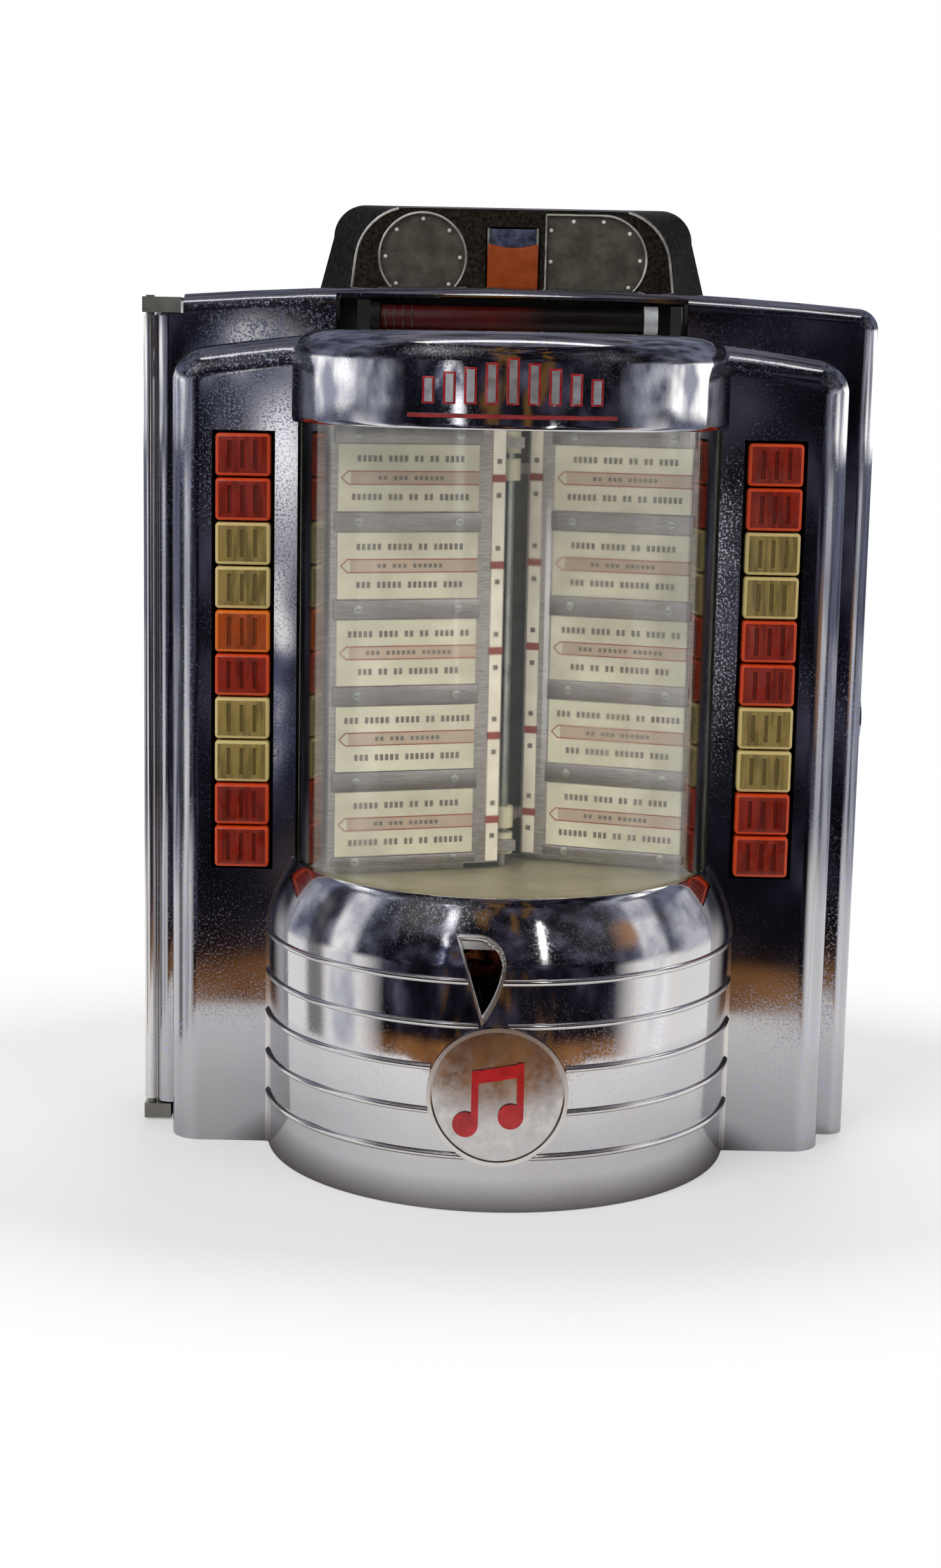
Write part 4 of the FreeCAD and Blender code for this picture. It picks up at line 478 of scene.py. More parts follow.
CARD_CREAM = plain("card_cream", "b9b19b", "d8d0ba", 0.55, 60)
STRIP_CREAM = plain("index_strip_cream", "d9cdba", "f1e7d6", 0.5, 90)
CARD_PINK = plain("card_pink", "a9937f", "b8a28d", 0.55, 90)
CARD_RED = plain("card_red_line", "7e2e28", "9a4038", 0.5)
CARD_INK = plain("card_grey_dash", "5c554d", "7b7267", 0.6)
PAGE_BAR = sheet_metal("page_bar_aluminium", "7d7775", "a09997", 0.36, (1, 1, 10))
# The second paint of each key is the painted highlight on its rounded edge.
KEY_RED = plastic("key_red", "7d1a05", "c03d12", "380902")
KEY_CREAM = plastic("key_cream", "85713c", "c3b076", "3d3213")
KEY_ORANGE = plastic("key_orange", "933b04", "d0670f", "481c02")
KEY_ORANGE_PLAIN = plain("key_bright_orange", "7e3204", "943e06", 0.4, Specular_IOR_Level=0.25)
PALE_BLUE = plain("pale_blue_plastic", "181a2a", "484c66", 0.25, 300, Coat_Weight=0.1)
BEAD = plain("pearl_bead", "b8b8ae", "e2e2da", 0.25)
SHIELD = plain("lamp_shield_black", "0c0b09", "1b1914", 0.5)
LAMP_RING = plain("lamp_ring_red", "240c0a", "3a1713", 0.35)

# Nodes that aren't listed are zinc plated, or aren't seen because a piece replaces them.
NODE_FINISHES = {
    "front_cover": COVER_CHROME, "hinge_barrel": RIB_CHROME, "cap_ornament": ORNAMENT,
    "medallion": BADGE, "page_tray": TRAY, "end_boards": PAGE, "lamp_holders": HOLDER,
    "left_switch_frame": PHENOLIC, "right_switch_frame": PHENOLIC, "lock_body": TRIM_CHROME,
    "lock_plug": TRIM_CHROME, "back_box": BOX_PAINT, "coin_head": HEAD_METAL,
    "head_windows": WINDOW_PLATE, "transmitter_frame": MOTOR_STEEL, "contact_disc": PHENOLIC,
    "drive_motor": MOTOR_STEEL, "terminal_strip": PHENOLIC, "cable_grommet": RUBBER,
    "hinge_brackets": HINGE_STEEL, "left_leaf": PAGE, "right_leaf": PAGE, "drive_gear": BRASS,
    "wiper_arm": BRASS, "motor_pinion": BRASS,
}


def smooth_by_angle(thing):
    """Smooth shading with sharp edges kept, weighted so that large flat faces stay flat."""
    thing.data.polygons.foreach_set("use_smooth", [True] * len(thing.data.polygons))
    weld = thing.modifiers.new("weld", "WELD")
    weld.merge_threshold = 2e-6
    split = thing.modifiers.new("sharp", "EDGE_SPLIT")
    split.split_angle = math.radians(SHARP_ANGLE)
    weight = thing.modifiers.new("flat", "WEIGHTED_NORMAL")
    weight.keep_sharp = True


def finish_nodes():
    """Gives each CAD node its finish, and rounds the edges of the hinge's ears."""
    for name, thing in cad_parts.items():
        thing.data.materials.clear()
        thing.data.materials.append(NODE_FINISHES.get(name, ZINC))
        smooth_by_angle(thing)
        if name == "hinge_brackets":
            soften = thing.modifiers.new("rounded", "BEVEL")
            soften.width, soften.segments, soften.limit_method = 1.6 * MM, 4, "ANGLE"


# ---------------------------------------------------------------- mesh tools

def in_scene(name, data):
    """A new object in the scene."""
    thing = bpy.data.objects.new(name, data)
    bpy.context.scene.collection.objects.link(thing)
    return thing


def object_of(name, mesh, materials):
    """A new object in the scene, made from a bmesh."""
    data = bpy.data.meshes.new(name)
    mesh.to_mesh(data)
    mesh.free()
    for material in materials:
        data.materials.append(material)
    return in_scene(name, data)


def finished(name, mesh, body, finishes, replaces=(), sharp=35):
    """Turns a bmesh in millimetres into a piece that rides on a body, or that stays loose when no body is
    given.
    """
    bmesh.ops.remove_doubles(mesh, verts=mesh.verts, dist=1e-4)
    bmesh.ops.scale(mesh, vec=(MM, MM, MM), verts=mesh.verts)
    bmesh.ops.recalc_face_normals(mesh, faces=mesh.faces)
    piece = object_of(name, mesh, finishes if isinstance(finishes, list) else [finishes])
    piece.data.polygons.foreach_set("use_smooth", [True] * len(piece.data.polygons))
    piece.data.set_sharp_from_angle(angle=math.radians(sharp))
    if body:
        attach(piece, body)
    if replaces:
        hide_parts(*replaces)
    return piece


def spin_profile(mesh, profile, start=0.0, end=2 * math.pi):
    """Turns a closed profile of (radius, height) about the drum's axis, from one angle to another.

    The angle is 0 to the front and grows to the right.
    """
    whole = end - start > 2 * math.pi - 1e-6
    centre = Vector((0, ROUND_BACK, 0))
    turn = Matrix.Rotation(start, 4, "Z")
    points = [turn @ Vector((0, -radius, height)) + centre for radius, height in profile]
    verts = [mesh.verts.new(point) for point in points]
    edges = [mesh.edges.new((verts[i - 1], verts[i])) for i in range(len(verts))]
    steps = max(3, int((end - start) / TURN_STEP))
    if not whole:
        mesh.faces.new(verts)
    made = bmesh.ops.spin(mesh, geom=verts + edges, cent=centre, axis=(0, 0, 1), dvec=(0, 0, 0),
                          angle=end - start, steps=steps, use_merge=whole, use_duplicate=False)
    if not whole:
        last = [item for item in made["geom_last"] if isinstance(item, bmesh.types.BMVert)]
        bmesh.ops.contextual_create(mesh, geom=last)


def slice_at(mesh, place, normal, clear_outer=False):
    """Puts edges where a plane crosses the mesh."""
    return bmesh.ops.bisect_plane(mesh, geom=mesh.verts[:] + mesh.edges[:] + mesh.faces[:],
                                  plane_co=place, plane_no=normal, clear_outer=clear_outer)["geom_cut"]


def cut_off(mesh, y=0.0, side=1):
    """Removes what lies behind a place, or before it with side -1, and closes the cut."""
    cut = slice_at(mesh, (0, y, 0), (0, side, 0), clear_outer=True)
    bmesh.ops.holes_fill(mesh, edges=[item for item in cut if isinstance(item, bmesh.types.BMEdge)], sides=0)


def edges_of(verts):
    return list({edge for vert in verts for edge in vert.link_edges})


def faces_of(verts):
    return list({face for vert in verts for face in vert.link_faces})


def rounded(mesh, edges, bevel, segments):
    """Rounds edges of a new shape and gives all the shape's vertices."""
    made = bmesh.ops.bevel(mesh, geom=edges, offset=bevel, offset_type="OFFSET", segments=segments,
                           profile=0.5, affect="EDGES", clamp_overlap=True, material=-1)
    return list({vert for face in faces_of(made["verts"]) for vert in face.verts})


def block(mesh, low, high, bevel=0.0, segments=2, material=0):
    """A block between two corners with its edges rounded."""
    verts = bmesh.ops.create_cube(mesh, size=1.0)["verts"]
    bmesh.ops.scale(mesh, vec=[high[i] - low[i] for i in range(3)], verts=verts)
    bmesh.ops.translate(mesh, vec=[(high[i] + low[i]) / 2 for i in range(3)], verts=verts)
    for face in faces_of(verts):
        face.material_index = material
    return rounded(mesh, edges_of(verts), bevel, segments) if bevel else verts


def disc_rod(mesh, radius, low, high, place, axis="Y", segments=32, bevel=0.0, material=0):
    """A round rod between two heights along an axis through a place."""
    verts = bmesh.ops.create_cone(mesh, cap_ends=True, cap_tris=False, segments=segments,
                                  radius1=radius, radius2=radius, depth=high - low)["verts"]
    for face in faces_of(verts):
        face.material_index = material
    if bevel:
        rims = [edge for edge in edges_of(verts) if abs(edge.verts[0].co.z - edge.verts[1].co.z) < 1e-6]
        verts = rounded(mesh, rims, bevel, 2)
    bmesh.ops.translate(mesh, vec=(0, 0, (low + high) / 2), verts=verts)
    turns = {"Y": Matrix.Rotation(-math.pi / 2, 4, "X"), "X": Matrix.Rotation(math.pi / 2, 4, "Y"),
             "Z": Matrix.Identity(4)}
    bmesh.ops.transform(mesh, matrix=Matrix.Translation(place) @ turns[axis], verts=verts)
    return verts


def bent_wire(mesh, centre, radius, wire, start=0.0, end=360.0, steps=None, rise=0.0):
    """A wire bent round a centre in an upright plane, or wound into a spring by a rise to the back.

    The angles start on the right and grow anticlockwise, as seen from the front.
    """
    whole = end - start > 359.9
    verts = bmesh.ops.create_circle(mesh, cap_ends=False, radius=wire, segments=8)["verts"]
    edges = edges_of(verts)
    bmesh.ops.translate(mesh, vec=(radius, 0, 0), verts=verts)
    turn = Matrix.Rotation(-math.radians(start), 3, "Y")
    bmesh.ops.rotate(mesh, cent=(0, 0, 0), matrix=turn, verts=verts)
    bmesh.ops.translate(mesh, vec=centre, verts=verts)
    bmesh.ops.spin(mesh, geom=verts + edges, cent=centre, axis=(0, -1, 0), dvec=(0, rise, 0),
                   angle=math.radians(end - start), steps=steps or max(3, int((end - start) / 7)),
                   use_merge=whole, use_duplicate=False)
    if not whole:
        ends = [edge for edge in mesh.edges if edge.is_boundary]
        bmesh.ops.holes_fill(mesh, edges=ends, sides=0)


# ---------------------------------------------------------------- drum, window and cap

def shoulder_bulge(height):
    """How far the drum's rounded shoulder stands out of a straight cone."""
    share = (height - DRUM_STRAIGHT) / (DRUM_TOP - DRUM_STRAIGHT)
    return 4 * SHOULDER_BULGE * share * (1 - share) if 0 < share < 1 else 0.0


def drum_radius(height):
    """The drum's radius at a height."""
    share = max(0.0, (height - DRUM_STRAIGHT) / (DRUM_TOP - DRUM_STRAIGHT))
    return DRUM_RADIUS - share * (DRUM_RADIUS - NECK_RADIUS) + shoulder_bulge(height)


def rib_stops(height):
    """Where a rib breaks off for the badges in front of it, as places across the drum."""
    off = abs(height - MEDAL_HEIGHT)
    if off < MEDAL_RADIUS - 0.5:
        half = math.sqrt(MEDAL_RADIUS ** 2 - off ** 2)
        return -half, half
    return TAIL_STOPS if height < TAIL_TOP else HEAD_STOPS


def lower_drum():
    """The thin drum with its rounded shoulder, its rim under the window and its five ribs."""
    mesh = bmesh.new()
    rise = [DRUM_STRAIGHT + (DRUM_TOP - 0.6 - DRUM_STRAIGHT) * step / 10 for step in range(11)]
    outside = [(DRUM_RADIUS - 0.8, 0), (DRUM_RADIUS - 0.2, 0.2), (DRUM_RADIUS, 0.8)]
    outside += [(drum_radius(height), height) for height in rise]
    rim = [(NECK_RADIUS - 0.25, DRUM_TOP), (SEAT_OUTER, DRUM_TOP), (SEAT_OUTER, SEAT_HEIGHT),
           (SEAT_INNER, SEAT_HEIGHT)]
    hollow = DRUM_RADIUS - DRUM_WALL
    inside = [(SEAT_INNER, SEAT_HEIGHT - SEAT_WALL), (hollow, DRUM_STRAIGHT - SEAT_WALL), (hollow, DRUM_WALL),
              (DRUM_FLOOR_HOLE, DRUM_WALL), (DRUM_FLOOR_HOLE, 0)]
    spin_profile(mesh, outside + rim + inside)
    cut_off(mesh)
    side = math.degrees(math.acos(ROUND_BACK / DRUM_RADIUS))
    for height in RIB_HEIGHTS:
        bead = [(DRUM_RADIUS + RIB_RADIUS * math.cos(turn), height + RIB_RADIUS * math.sin(turn))
                for turn in (math.pi * step / 5 - math.pi for step in range(10))]
        left, right = (math.degrees(math.asin(stop / DRUM_RADIUS)) for stop in rib_stops(height))
        drum_faces = set(mesh.faces)
        spin_profile(mesh, bead, math.radians(-side), math.radians(left))
        spin_profile(mesh, bead, math.radians(right), math.radians(side))
        for face in set(mesh.faces) - drum_faces:
            face.material_index = 1
    finished("lower_drum_shell", mesh, "cover", [DRUM_CHROME, RIB_CHROME], ["lower_drum"], sharp=40)


def drum_edge_trim():
    """The thin flange along both sides of the drum, where it meets the panel."""
    mesh = bmesh.new()
    heights = [0.5] + [DRUM_STRAIGHT + (DRUM_TOP - DRUM_STRAIGHT) * step / 6 for step in range(7)]
    outside = [(drum_radius(height) + 1.1, height) for height in heights]
    inside = [(drum_radius(height) - 0.6, height) for height in reversed(heights)]
    spin_profile(mesh, outside + inside)
    cut_off(mesh)
    cut_off(mesh, -0.9, side=-1)
    finished("drum_edge_trim", mesh, "cover", RIB_CHROME)


def cap_roll(radius, steps):
    """The cap's rolled upper edge at a radius, as places of (radius, height)."""
    middle = CAP_RADIUS - CAP_ROLL_RADIUS
    return [(middle + radius * math.cos(math.pi * step / 16),
             CAP_ROLL_HEIGHT + radius * math.sin(math.pi * step / 16)) for step in steps]


def top_cap():
    """The thin cap with its rolled upper edge and a small bead round its foot."""
    mesh = bmesh.new()
    roll = cap_roll(CAP_ROLL_RADIUS, range(9))
    under = cap_roll(CAP_ROLL_RADIUS - CAP_WALL, range(8, -1, -1))
    foot = [(76.5, 267.9), (77.0, CAP_FOOT), (78.2, CAP_FOOT), (78.8, 268.2), (CAP_RADIUS, 269.4)]
    spin_profile(mesh, foot + roll + under)
    cut_off(mesh)
    finished("top_cap_shell", mesh, "cover", DRUM_CHROME, ["top_cap"], sharp=40)


def window_dome():
    """The clear half-round window."""
    mesh = bmesh.new()
    spin_profile(mesh, [(DOME_INNER, DOME_LOW), (DOME_OUTER, DOME_LOW), (DOME_OUTER, DOME_HIGH),
                        (DOME_INNER, DOME_HIGH)])
    cut_off(mesh, DOME_REAR)
    finished("window_dome", mesh, "cover", CLEAR, ["page_window"])


def ornament_red_edges():
    """Red enamel that shows as an edge round each bar of the cap's ornament."""
    mesh = bmesh.new()
    for step in range(-4, 5):
        top = BAR_TOP - BAR_STEP * abs(step)
        verts = block(mesh, (-BAR_HALF, -BAR_FRONT, BAR_FOOT), (BAR_HALF, -BAR_REAR, top), 0.25)
        turn = Matrix.Rotation(math.asin(BAR_PITCH * step / CAP_RADIUS), 4, "Z")
        bmesh.ops.transform(mesh, matrix=Matrix.Translation((0, ROUND_BACK, 0)) @ turn, verts=verts)
    finished("ornament_red_edges", mesh, "cover", RED_ENAMEL)


def teardrop_badge():
    """The teardrop keeps its outline and is lifted with the rounded shoulder under it."""
    mesh = bmesh.new()
    mesh.from_mesh(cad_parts["teardrop_badge"].data)
    bmesh.ops.scale(mesh, vec=(1 / MM,) * 3, verts=mesh.verts)
    bmesh.ops.remove_doubles(mesh, verts=mesh.verts, dist=1e-3)
    for step in range(1, 8):
        slice_at(mesh, (0, 0, DRUM_STRAIGHT + 1.6 * step), (0, 0, 1))
    for vert in mesh.verts:
        out = Vector((vert.co.x, vert.co.y - ROUND_BACK, 0))
        vert.co += out.normalized() * shoulder_bulge(vert.co.z)
    finished("teardrop_shell", mesh, "cover", DROP, ["teardrop_badge"], sharp=30)


# ---------------------------------------------------------------- pages

def about(middle, half):
    """The two ends of a stretch that lies evenly about a middle."""
    return middle - half, middle + half


class Leaf:
    """Places things on a page's seen face: across from its left end, out of the page and up."""

    def __init__(self, angle, face, out, from_left):
        self.place = Matrix.Translation(SPINDLE) @ Matrix.Rotation(math.radians(angle), 4, "Z")
        self.face, self.out, self.from_left = face, out, from_left

    def along(self, across):
        return CARD_FAR - across if self.from_left else CARD_NEAR + across

    def depth(self, proud):
        return sorted(self.face + self.out * value for value in proud)

    def box(self, mesh, across, proud, heights, bevel=0.0, material=0):
        (left, right), (near, far) = sorted(self.along(value) for value in across), self.depth(proud)
        verts = block(mesh, (left, near, heights[0]), (right, far, heights[1]), bevel, material=material)
        bmesh.ops.transform(mesh, matrix=self.place, verts=verts)

    def slant(self, mesh, start, end, half, proud, material=0):
        """A straight line on the page between two places, each across and up."""
        near, far = self.depth(proud)
        first, last = (Vector((self.along(across), 0, height)) for across, height in (start, end))
        verts = block(mesh, (-half, near, 0), (half, far, (last - first).length), material=material)
        tilt = math.atan2(last.x - first.x, last.z - first.z)
        turn = Matrix.Translation(first) @ Matrix.Rotation(tilt, 4, "Y")
        bmesh.ops.transform(mesh, matrix=self.place @ turn, verts=verts)

    def round(self, mesh, radius, across, proud, height, material=0, bevel=0.0):
        verts = disc_rod(mesh, radius, *self.depth(proud), (self.along(across), 0, height), "Y", 20,
                         bevel, material)
        bmesh.ops.transform(mesh, matrix=self.place, verts=verts)


def word_lengths():
    """Lengths of the rows of blank dashes that stand in for words."""
    seed = 7
    while True:
        seed = (seed * 37 + 11) % 101
        yield STROKE_PITCH * (2 + seed % 5)


def dash_row(mesh, leaf, words, height, tall, room):
    """A row of blank dashes about the middle of a card, as long as a room."""
    line = []
    while sum(line) + WORD_GAP * len(line) < room:
        line.append(next(words))
    at = CARD_LONG / 2 + 1 - (sum(line) + WORD_GAP * (len(line) - 1)) / 2
    for count in line:
        for stroke in range(int(count / STROKE_PITCH)):
            here = at + stroke * STROKE_PITCH
            leaf.box(mesh, (here, here + STROKE_LONG), (0.5, 0.6), about(height, tall / 2), material=3)
        at += count + WORD_GAP


def title_cards(side, leaf, body):
    """Five cards, each with two rows of dashes and a pink pointed band with a third row."""
    mesh = bmesh.new()
    words = word_lengths()
    for row in range(CARD_COUNT):
        middle = CARD_LOW + CARD_PITCH * row
        leaf.box(mesh, (0, CARD_LONG), (0.4, 0.55), about(middle, CARD_TALL / 2))
        leaf.box(mesh, (BAND_POINT + 1, CARD_LONG), (0.5, 0.58), about(middle, BAND_HALF), material=1)
        for edge in about(middle, BAND_HALF):
            leaf.box(mesh, (BAND_POINT, CARD_LONG), (0.5, 0.64), about(edge, LINE_HALF), material=2)
            leaf.slant(mesh, (BAND_POINT + 0.1, edge), (BAND_TIP, middle), LINE_HALF, (0.5, 0.64), material=2)
        dash_row(mesh, leaf, words, middle + ROW_OFF, 2.3, 38 + 3 * (row % 3))
        dash_row(mesh, leaf, words, middle, 1.5, 22)
        dash_row(mesh, leaf, words, middle - ROW_OFF, 2.3, 39 - 4 * (row % 2))
    finished("%s_title_cards" % side, mesh, body, [CARD_CREAM, CARD_PINK, CARD_RED, CARD_INK])


def clamp_bars(side, leaf, body):
    """Aluminium bars that hold the cards, each with two screws, and the cream index strip."""
    mesh = bmesh.new()
    for row in range(CARD_COUNT + 1):
        middle = CARD_LOW + CARD_PITCH * (row - 0.5)
        low, high = max(middle - CLAMP_HALF, LEAF_LOW), min(middle + CLAMP_HALF, LEAF_HIGH)
        slot = (low + high) / 2
        leaf.box(mesh, (-CLAMP_PAST, CARD_LONG + CLAMP_PAST), (0.0, 0.9), (low, high), bevel=0.3)
        for across in (CLAMP_SCREW_IN, CARD_LONG - CLAMP_SCREW_IN):
            leaf.round(mesh, CLAMP_SCREW, across, (0.8, 1.35), slot, material=1, bevel=0.3)
            leaf.box(mesh, about(across, 1.1), (1.2, 1.4), about(slot, 0.2), material=2)
    near = CARD_LONG + 5.5 if leaf.from_left else -9.5
    leaf.box(mesh, (near, near + STRIP_WIDE), (0.0, 0.5), (LEAF_LOW, LEAF_HIGH), material=3)
    for row in range(CARD_COUNT):
        middle = CARD_LOW + CARD_PITCH * row
        leaf.box(mesh, (near - 0.2, near + STRIP_WIDE + 0.2), (0.3, 0.62), about(middle, 1.4), material=4)
        for mark in about(middle, 6.2):
            leaf.box(mesh, (near + 1.4, near + 3.2), (0.4, 0.6), about(mark, 0.9), material=2)
    finished("%s_clamp_bars" % side, mesh, body, [PAGE_BAR, ZINC, CARD_INK, STRIP_CREAM, CARD_RED])


# ---------------------------------------------------------------- keys

def key_height(number):
    """The height of a button's middle. Button 1 is the top one."""
    return KEY_LOW + KEY_PITCH * (KEY_COUNT - number + 0.5)


def in_flute(face):
    """Whether a face is one of those that the three flutes are sunk in."""
    middle = face.calc_center_median()
    return (face.normal.y < -0.9 and abs(middle.z) < GROOVE_REACH
            and any(abs(middle.x - groove) < GROOVE_HALF for groove in GROOVES))


def keycap(node, out, number, finish, slot):
    """A button with rounded edges, a slightly crowned face, three worn flutes and its stem."""
    mesh = bmesh.new()
    block(mesh, (-KEY_WIDE / 2, KEY_FRONT, -KEY_TALL / 2), (KEY_WIDE / 2, KEY_REAR, KEY_TALL / 2), 1.3, 3)
    for groove in GROOVES:
        for edge in (-GROOVE_HALF, GROOVE_HALF):
            slice_at(mesh, (groove + edge, 0, 0), (1, 0, 0))
    for height in (-GROOVE_REACH, GROOVE_REACH, 0.0):
        slice_at(mesh, (0, 0, height), (0, 0, 1))
    for vert in mesh.verts:
        if vert.co.y < KEY_FRONT + 0.01:
            across, up = vert.co.x / KEY_WIDE * 2, vert.co.z / KEY_TALL * 2
            vert.co.y -= KEY_CROWN * (1 - across ** 2) * (1 - up ** 2)
    mesh.normal_update()
    flutes = [face for face in mesh.faces if in_flute(face)]
    rim_highlight, fluted = mesh.verts.layers.float.new("rim_highlight"), mesh.verts.layers.float.new("flute")
    bmesh.ops.inset_region(mesh, faces=flutes, thickness=0.3, depth=-GROOVE_DEPTH, use_even_offset=True)
    # Marks the rounded edge for its painted highlight.
    for vert in mesh.verts:
        rim = abs(vert.co.x) > KEY_WIDE / 2 - KEY_RIM or abs(vert.co.z) > KEY_TALL / 2 - KEY_RIM
        vert[rim_highlight] = 1.0 if rim else 0.0
    for vert in {vert for face in flutes for vert in face.verts}:
        vert[fluted] = 1.0
    block(mesh, (-STEM_HALF_WIDE, KEY_REAR - 0.5, -STEM_HALF_TALL),
          (STEM_HALF_WIDE, STEM_END, STEM_HALF_TALL), 0.2)
    bmesh.ops.translate(mesh, vec=(out, 0, key_height(number)), verts=mesh.verts)
    finished("keycap_" + node, mesh, node, finish, [node], sharp=50)


def keycaps():
    """Both columns of buttons."""
    kinds = {"r": (KEY_RED, "red_plastic"), "c": (KEY_CREAM, "cream_plastic"),
             "o": (KEY_ORANGE, "orange_plastic")}
    for side, out, colours in (("left", -KEY_OUT, LEFT_COLOURS), ("right", KEY_OUT, RIGHT_COLOURS)):
        for number, colour in enumerate(colours, start=1):
            keycap("%s_button_%02d" % (side, number), out, number, *kinds[colour])


def contact_blade(side, sign, number):
    """A flat brass blade, riveted at its outer end, with extra edges across it where the button's stem pushes
    it.
    """
    height = key_height(number)
    mesh = bmesh.new()
    ends = sorted((BLADE_ROOT * sign, BLADE_TIP * sign))
    block(mesh, (ends[0], BLADE_FRONT, height - BLADE_HALF),
          (ends[1], BLADE_FRONT + BLADE_THICK, height + BLADE_HALF), 0.12, 2)
    for step in range(1, 10):
        place = BEND_END + (BEND_START - BEND_END) * step / 10
        slice_at(mesh, (place * sign, 0, 0), (1, 0, 0))
    back = BLADE_FRONT + BLADE_THICK
    disc_rod(mesh, 1.1, back - 0.1, back + 0.5, (RIVET_OUT * sign, 0, height), "Y", 16, 0.2)
    disc_rod(mesh, 1.3, back - 0.1, back + 0.6, (CONTACT_OUT * sign, 0, height), "Y", 16, 0.25, material=1)
    name = "%s_contact_blade_%02d" % (side, number)
    blade = finished(name, mesh, None, [BRASS, SPRING_STEEL])
    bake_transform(blade)
    return blade


def contact_blades():
    """One blade behind each button."""
    blades = [contact_blade(side, sign, number) for side, sign in (("left", -1), ("right", 1))
              for number in range(1, KEY_COUNT + 1)]
    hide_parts("contact_blades")


# ---------------------------------------------------------------- coin head

def head_highlight_line_and_rings():
    """A pale line round the head's face, a painted edge highlight, and the rings round its two windows."""
    mesh = bmesh.new()
    lean = math.atan2(HEAD_SIDE_IN, HEAD_SIDE_UP)
    slope = math.degrees(lean)
    # The line round the face stands for the edge's highlight: a painted highlight.
    for side in (-1, 1):
        middle = (side * HEAD_CORNER_OUT, HEAD_FRONT, HEAD_TOP - HEAD_CORNER)
        start, end = (slope, 76) if side > 0 else (104, 180 - slope)
        bent_wire(mesh, middle, HEAD_CORNER - 0.9, HIGHLIGHT_WIRE, start, end)
        verts = disc_rod(mesh, HIGHLIGHT_WIRE, 0, 22.2, (0, 0, 0), "Z", 8)
        place = Matrix.Translation((side * HEAD_FOOT_OUT, HEAD_FRONT, HEAD_FOOT))
        bmesh.ops.transform(mesh, matrix=place @ Matrix.Rotation(-side * lean, 4, "Y"), verts=verts)
    bent_wire(mesh, (-WINDOW_OUT, HEAD_FRONT, WINDOW_HEIGHT), WINDOW_RADIUS, RING_WIRE)
    bent_wire(mesh, (WINDOW_OUT, HEAD_FRONT, WINDOW_HEIGHT), WINDOW_RADIUS, RING_WIRE, -90, 90)
    disc_rod(mesh, BAR_WIRE, WINDOW_HEIGHT - WINDOW_RADIUS, WINDOW_HEIGHT + WINDOW_RADIUS,
             (PRICE_LEFT, HEAD_FRONT, 0), "Z", 8)
    for edge in (-WINDOW_RADIUS, WINDOW_RADIUS):
        disc_rod(mesh, BAR_WIRE, PRICE_LEFT, WINDOW_OUT, (0, HEAD_FRONT, WINDOW_HEIGHT + edge), "X", 8)
    finished("head_highlight_line_and_rings", mesh, "chassis", NICKEL_RINGS_AND_HIGHLIGHT)


def on_ring(out, degrees):
    """A place on the ring of beads about a window's middle, across and up."""
    turn = math.radians(degrees)
    return out + BEAD_RING * math.cos(turn), BEAD_RING * math.sin(turn)


def window_beads():
    """Small pale beads round the two windows."""
    mesh = bmesh.new()
    places = [on_ring(-WINDOW_OUT, degrees) for degrees in range(0, 360, 45)]
    places += [on_ring(WINDOW_OUT, degrees) for degrees in (-90, -45, 0, 45, 90)]
    places += [(WINDOW_OUT - 11.1, BEAD_RING), (WINDOW_OUT - 19.4, 10.5), (WINDOW_OUT - 19.4, -0.9),
               (WINDOW_OUT - 19.4, -12.0), (WINDOW_OUT - 11.1, -BEAD_RING)]
    for across, up in places:
        made = bmesh.ops.create_uvsphere(mesh, u_segments=12, v_segments=8, radius=BEAD_RADIUS)
        bmesh.ops.translate(mesh, vec=(across, BEAD_FRONT, WINDOW_HEIGHT + up), verts=made["verts"])
    finished("window_beads", mesh, "chassis", BEAD)


def coin_return_key():
    """The orange key with its hollowed top, and the pale band of clear plastic above it."""
    mesh = bmesh.new()
    block(mesh, (-RETURN_HALF, 45.6, 311.5), (RETURN_HALF, 51.6, 333.6), 1.0, 3)
    for step in range(-4, 5):
        slice_at(mesh, (step * 2.1, 0, 0), (1, 0, 0))
    for vert in mesh.verts:
        if vert.co.z > RETURN_DIP_FOOT:
            vert.co.z -= RETURN_DIP * (1 - (vert.co.x / RETURN_HALF) ** 2)
    block(mesh, (-9.4, 47.2, 329), (9.4, 51.4, 338.8), 0.4, material=1)
    for side in (-9.1, 9.1):
        disc_rod(mesh, 0.6, 329, 339.0, (side, 46.8, 0), "Z", 10, material=2)
    disc_rod(mesh, 2.0, 51.0, 62.5, (0, 0, SPRING_HEIGHT), "Y", 24, material=2)
    finished("coin_return_key", mesh, "return_key", [KEY_ORANGE_PLAIN, PALE_BLUE, ZINC],
             ["return_button"])


def return_spring():
    """The coil spring that pushes the key forward."""
    mesh = bmesh.new()
    centre = (0, SPRING_FRONT + SPRING_WIRE, SPRING_HEIGHT)
    steps = SPRING_TURNS * SPRING_STEPS
    rise = (SPRING_BACK - SPRING_FRONT - 2 * SPRING_WIRE) / steps
    bent_wire(mesh, centre, SPRING_RADIUS, SPRING_WIRE, 0, -360 * SPRING_TURNS, steps, rise)
    spring = finished("return_key_spring", mesh, None, SPRING_STEEL, sharp=60)
    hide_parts("return_spring")
    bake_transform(spring)


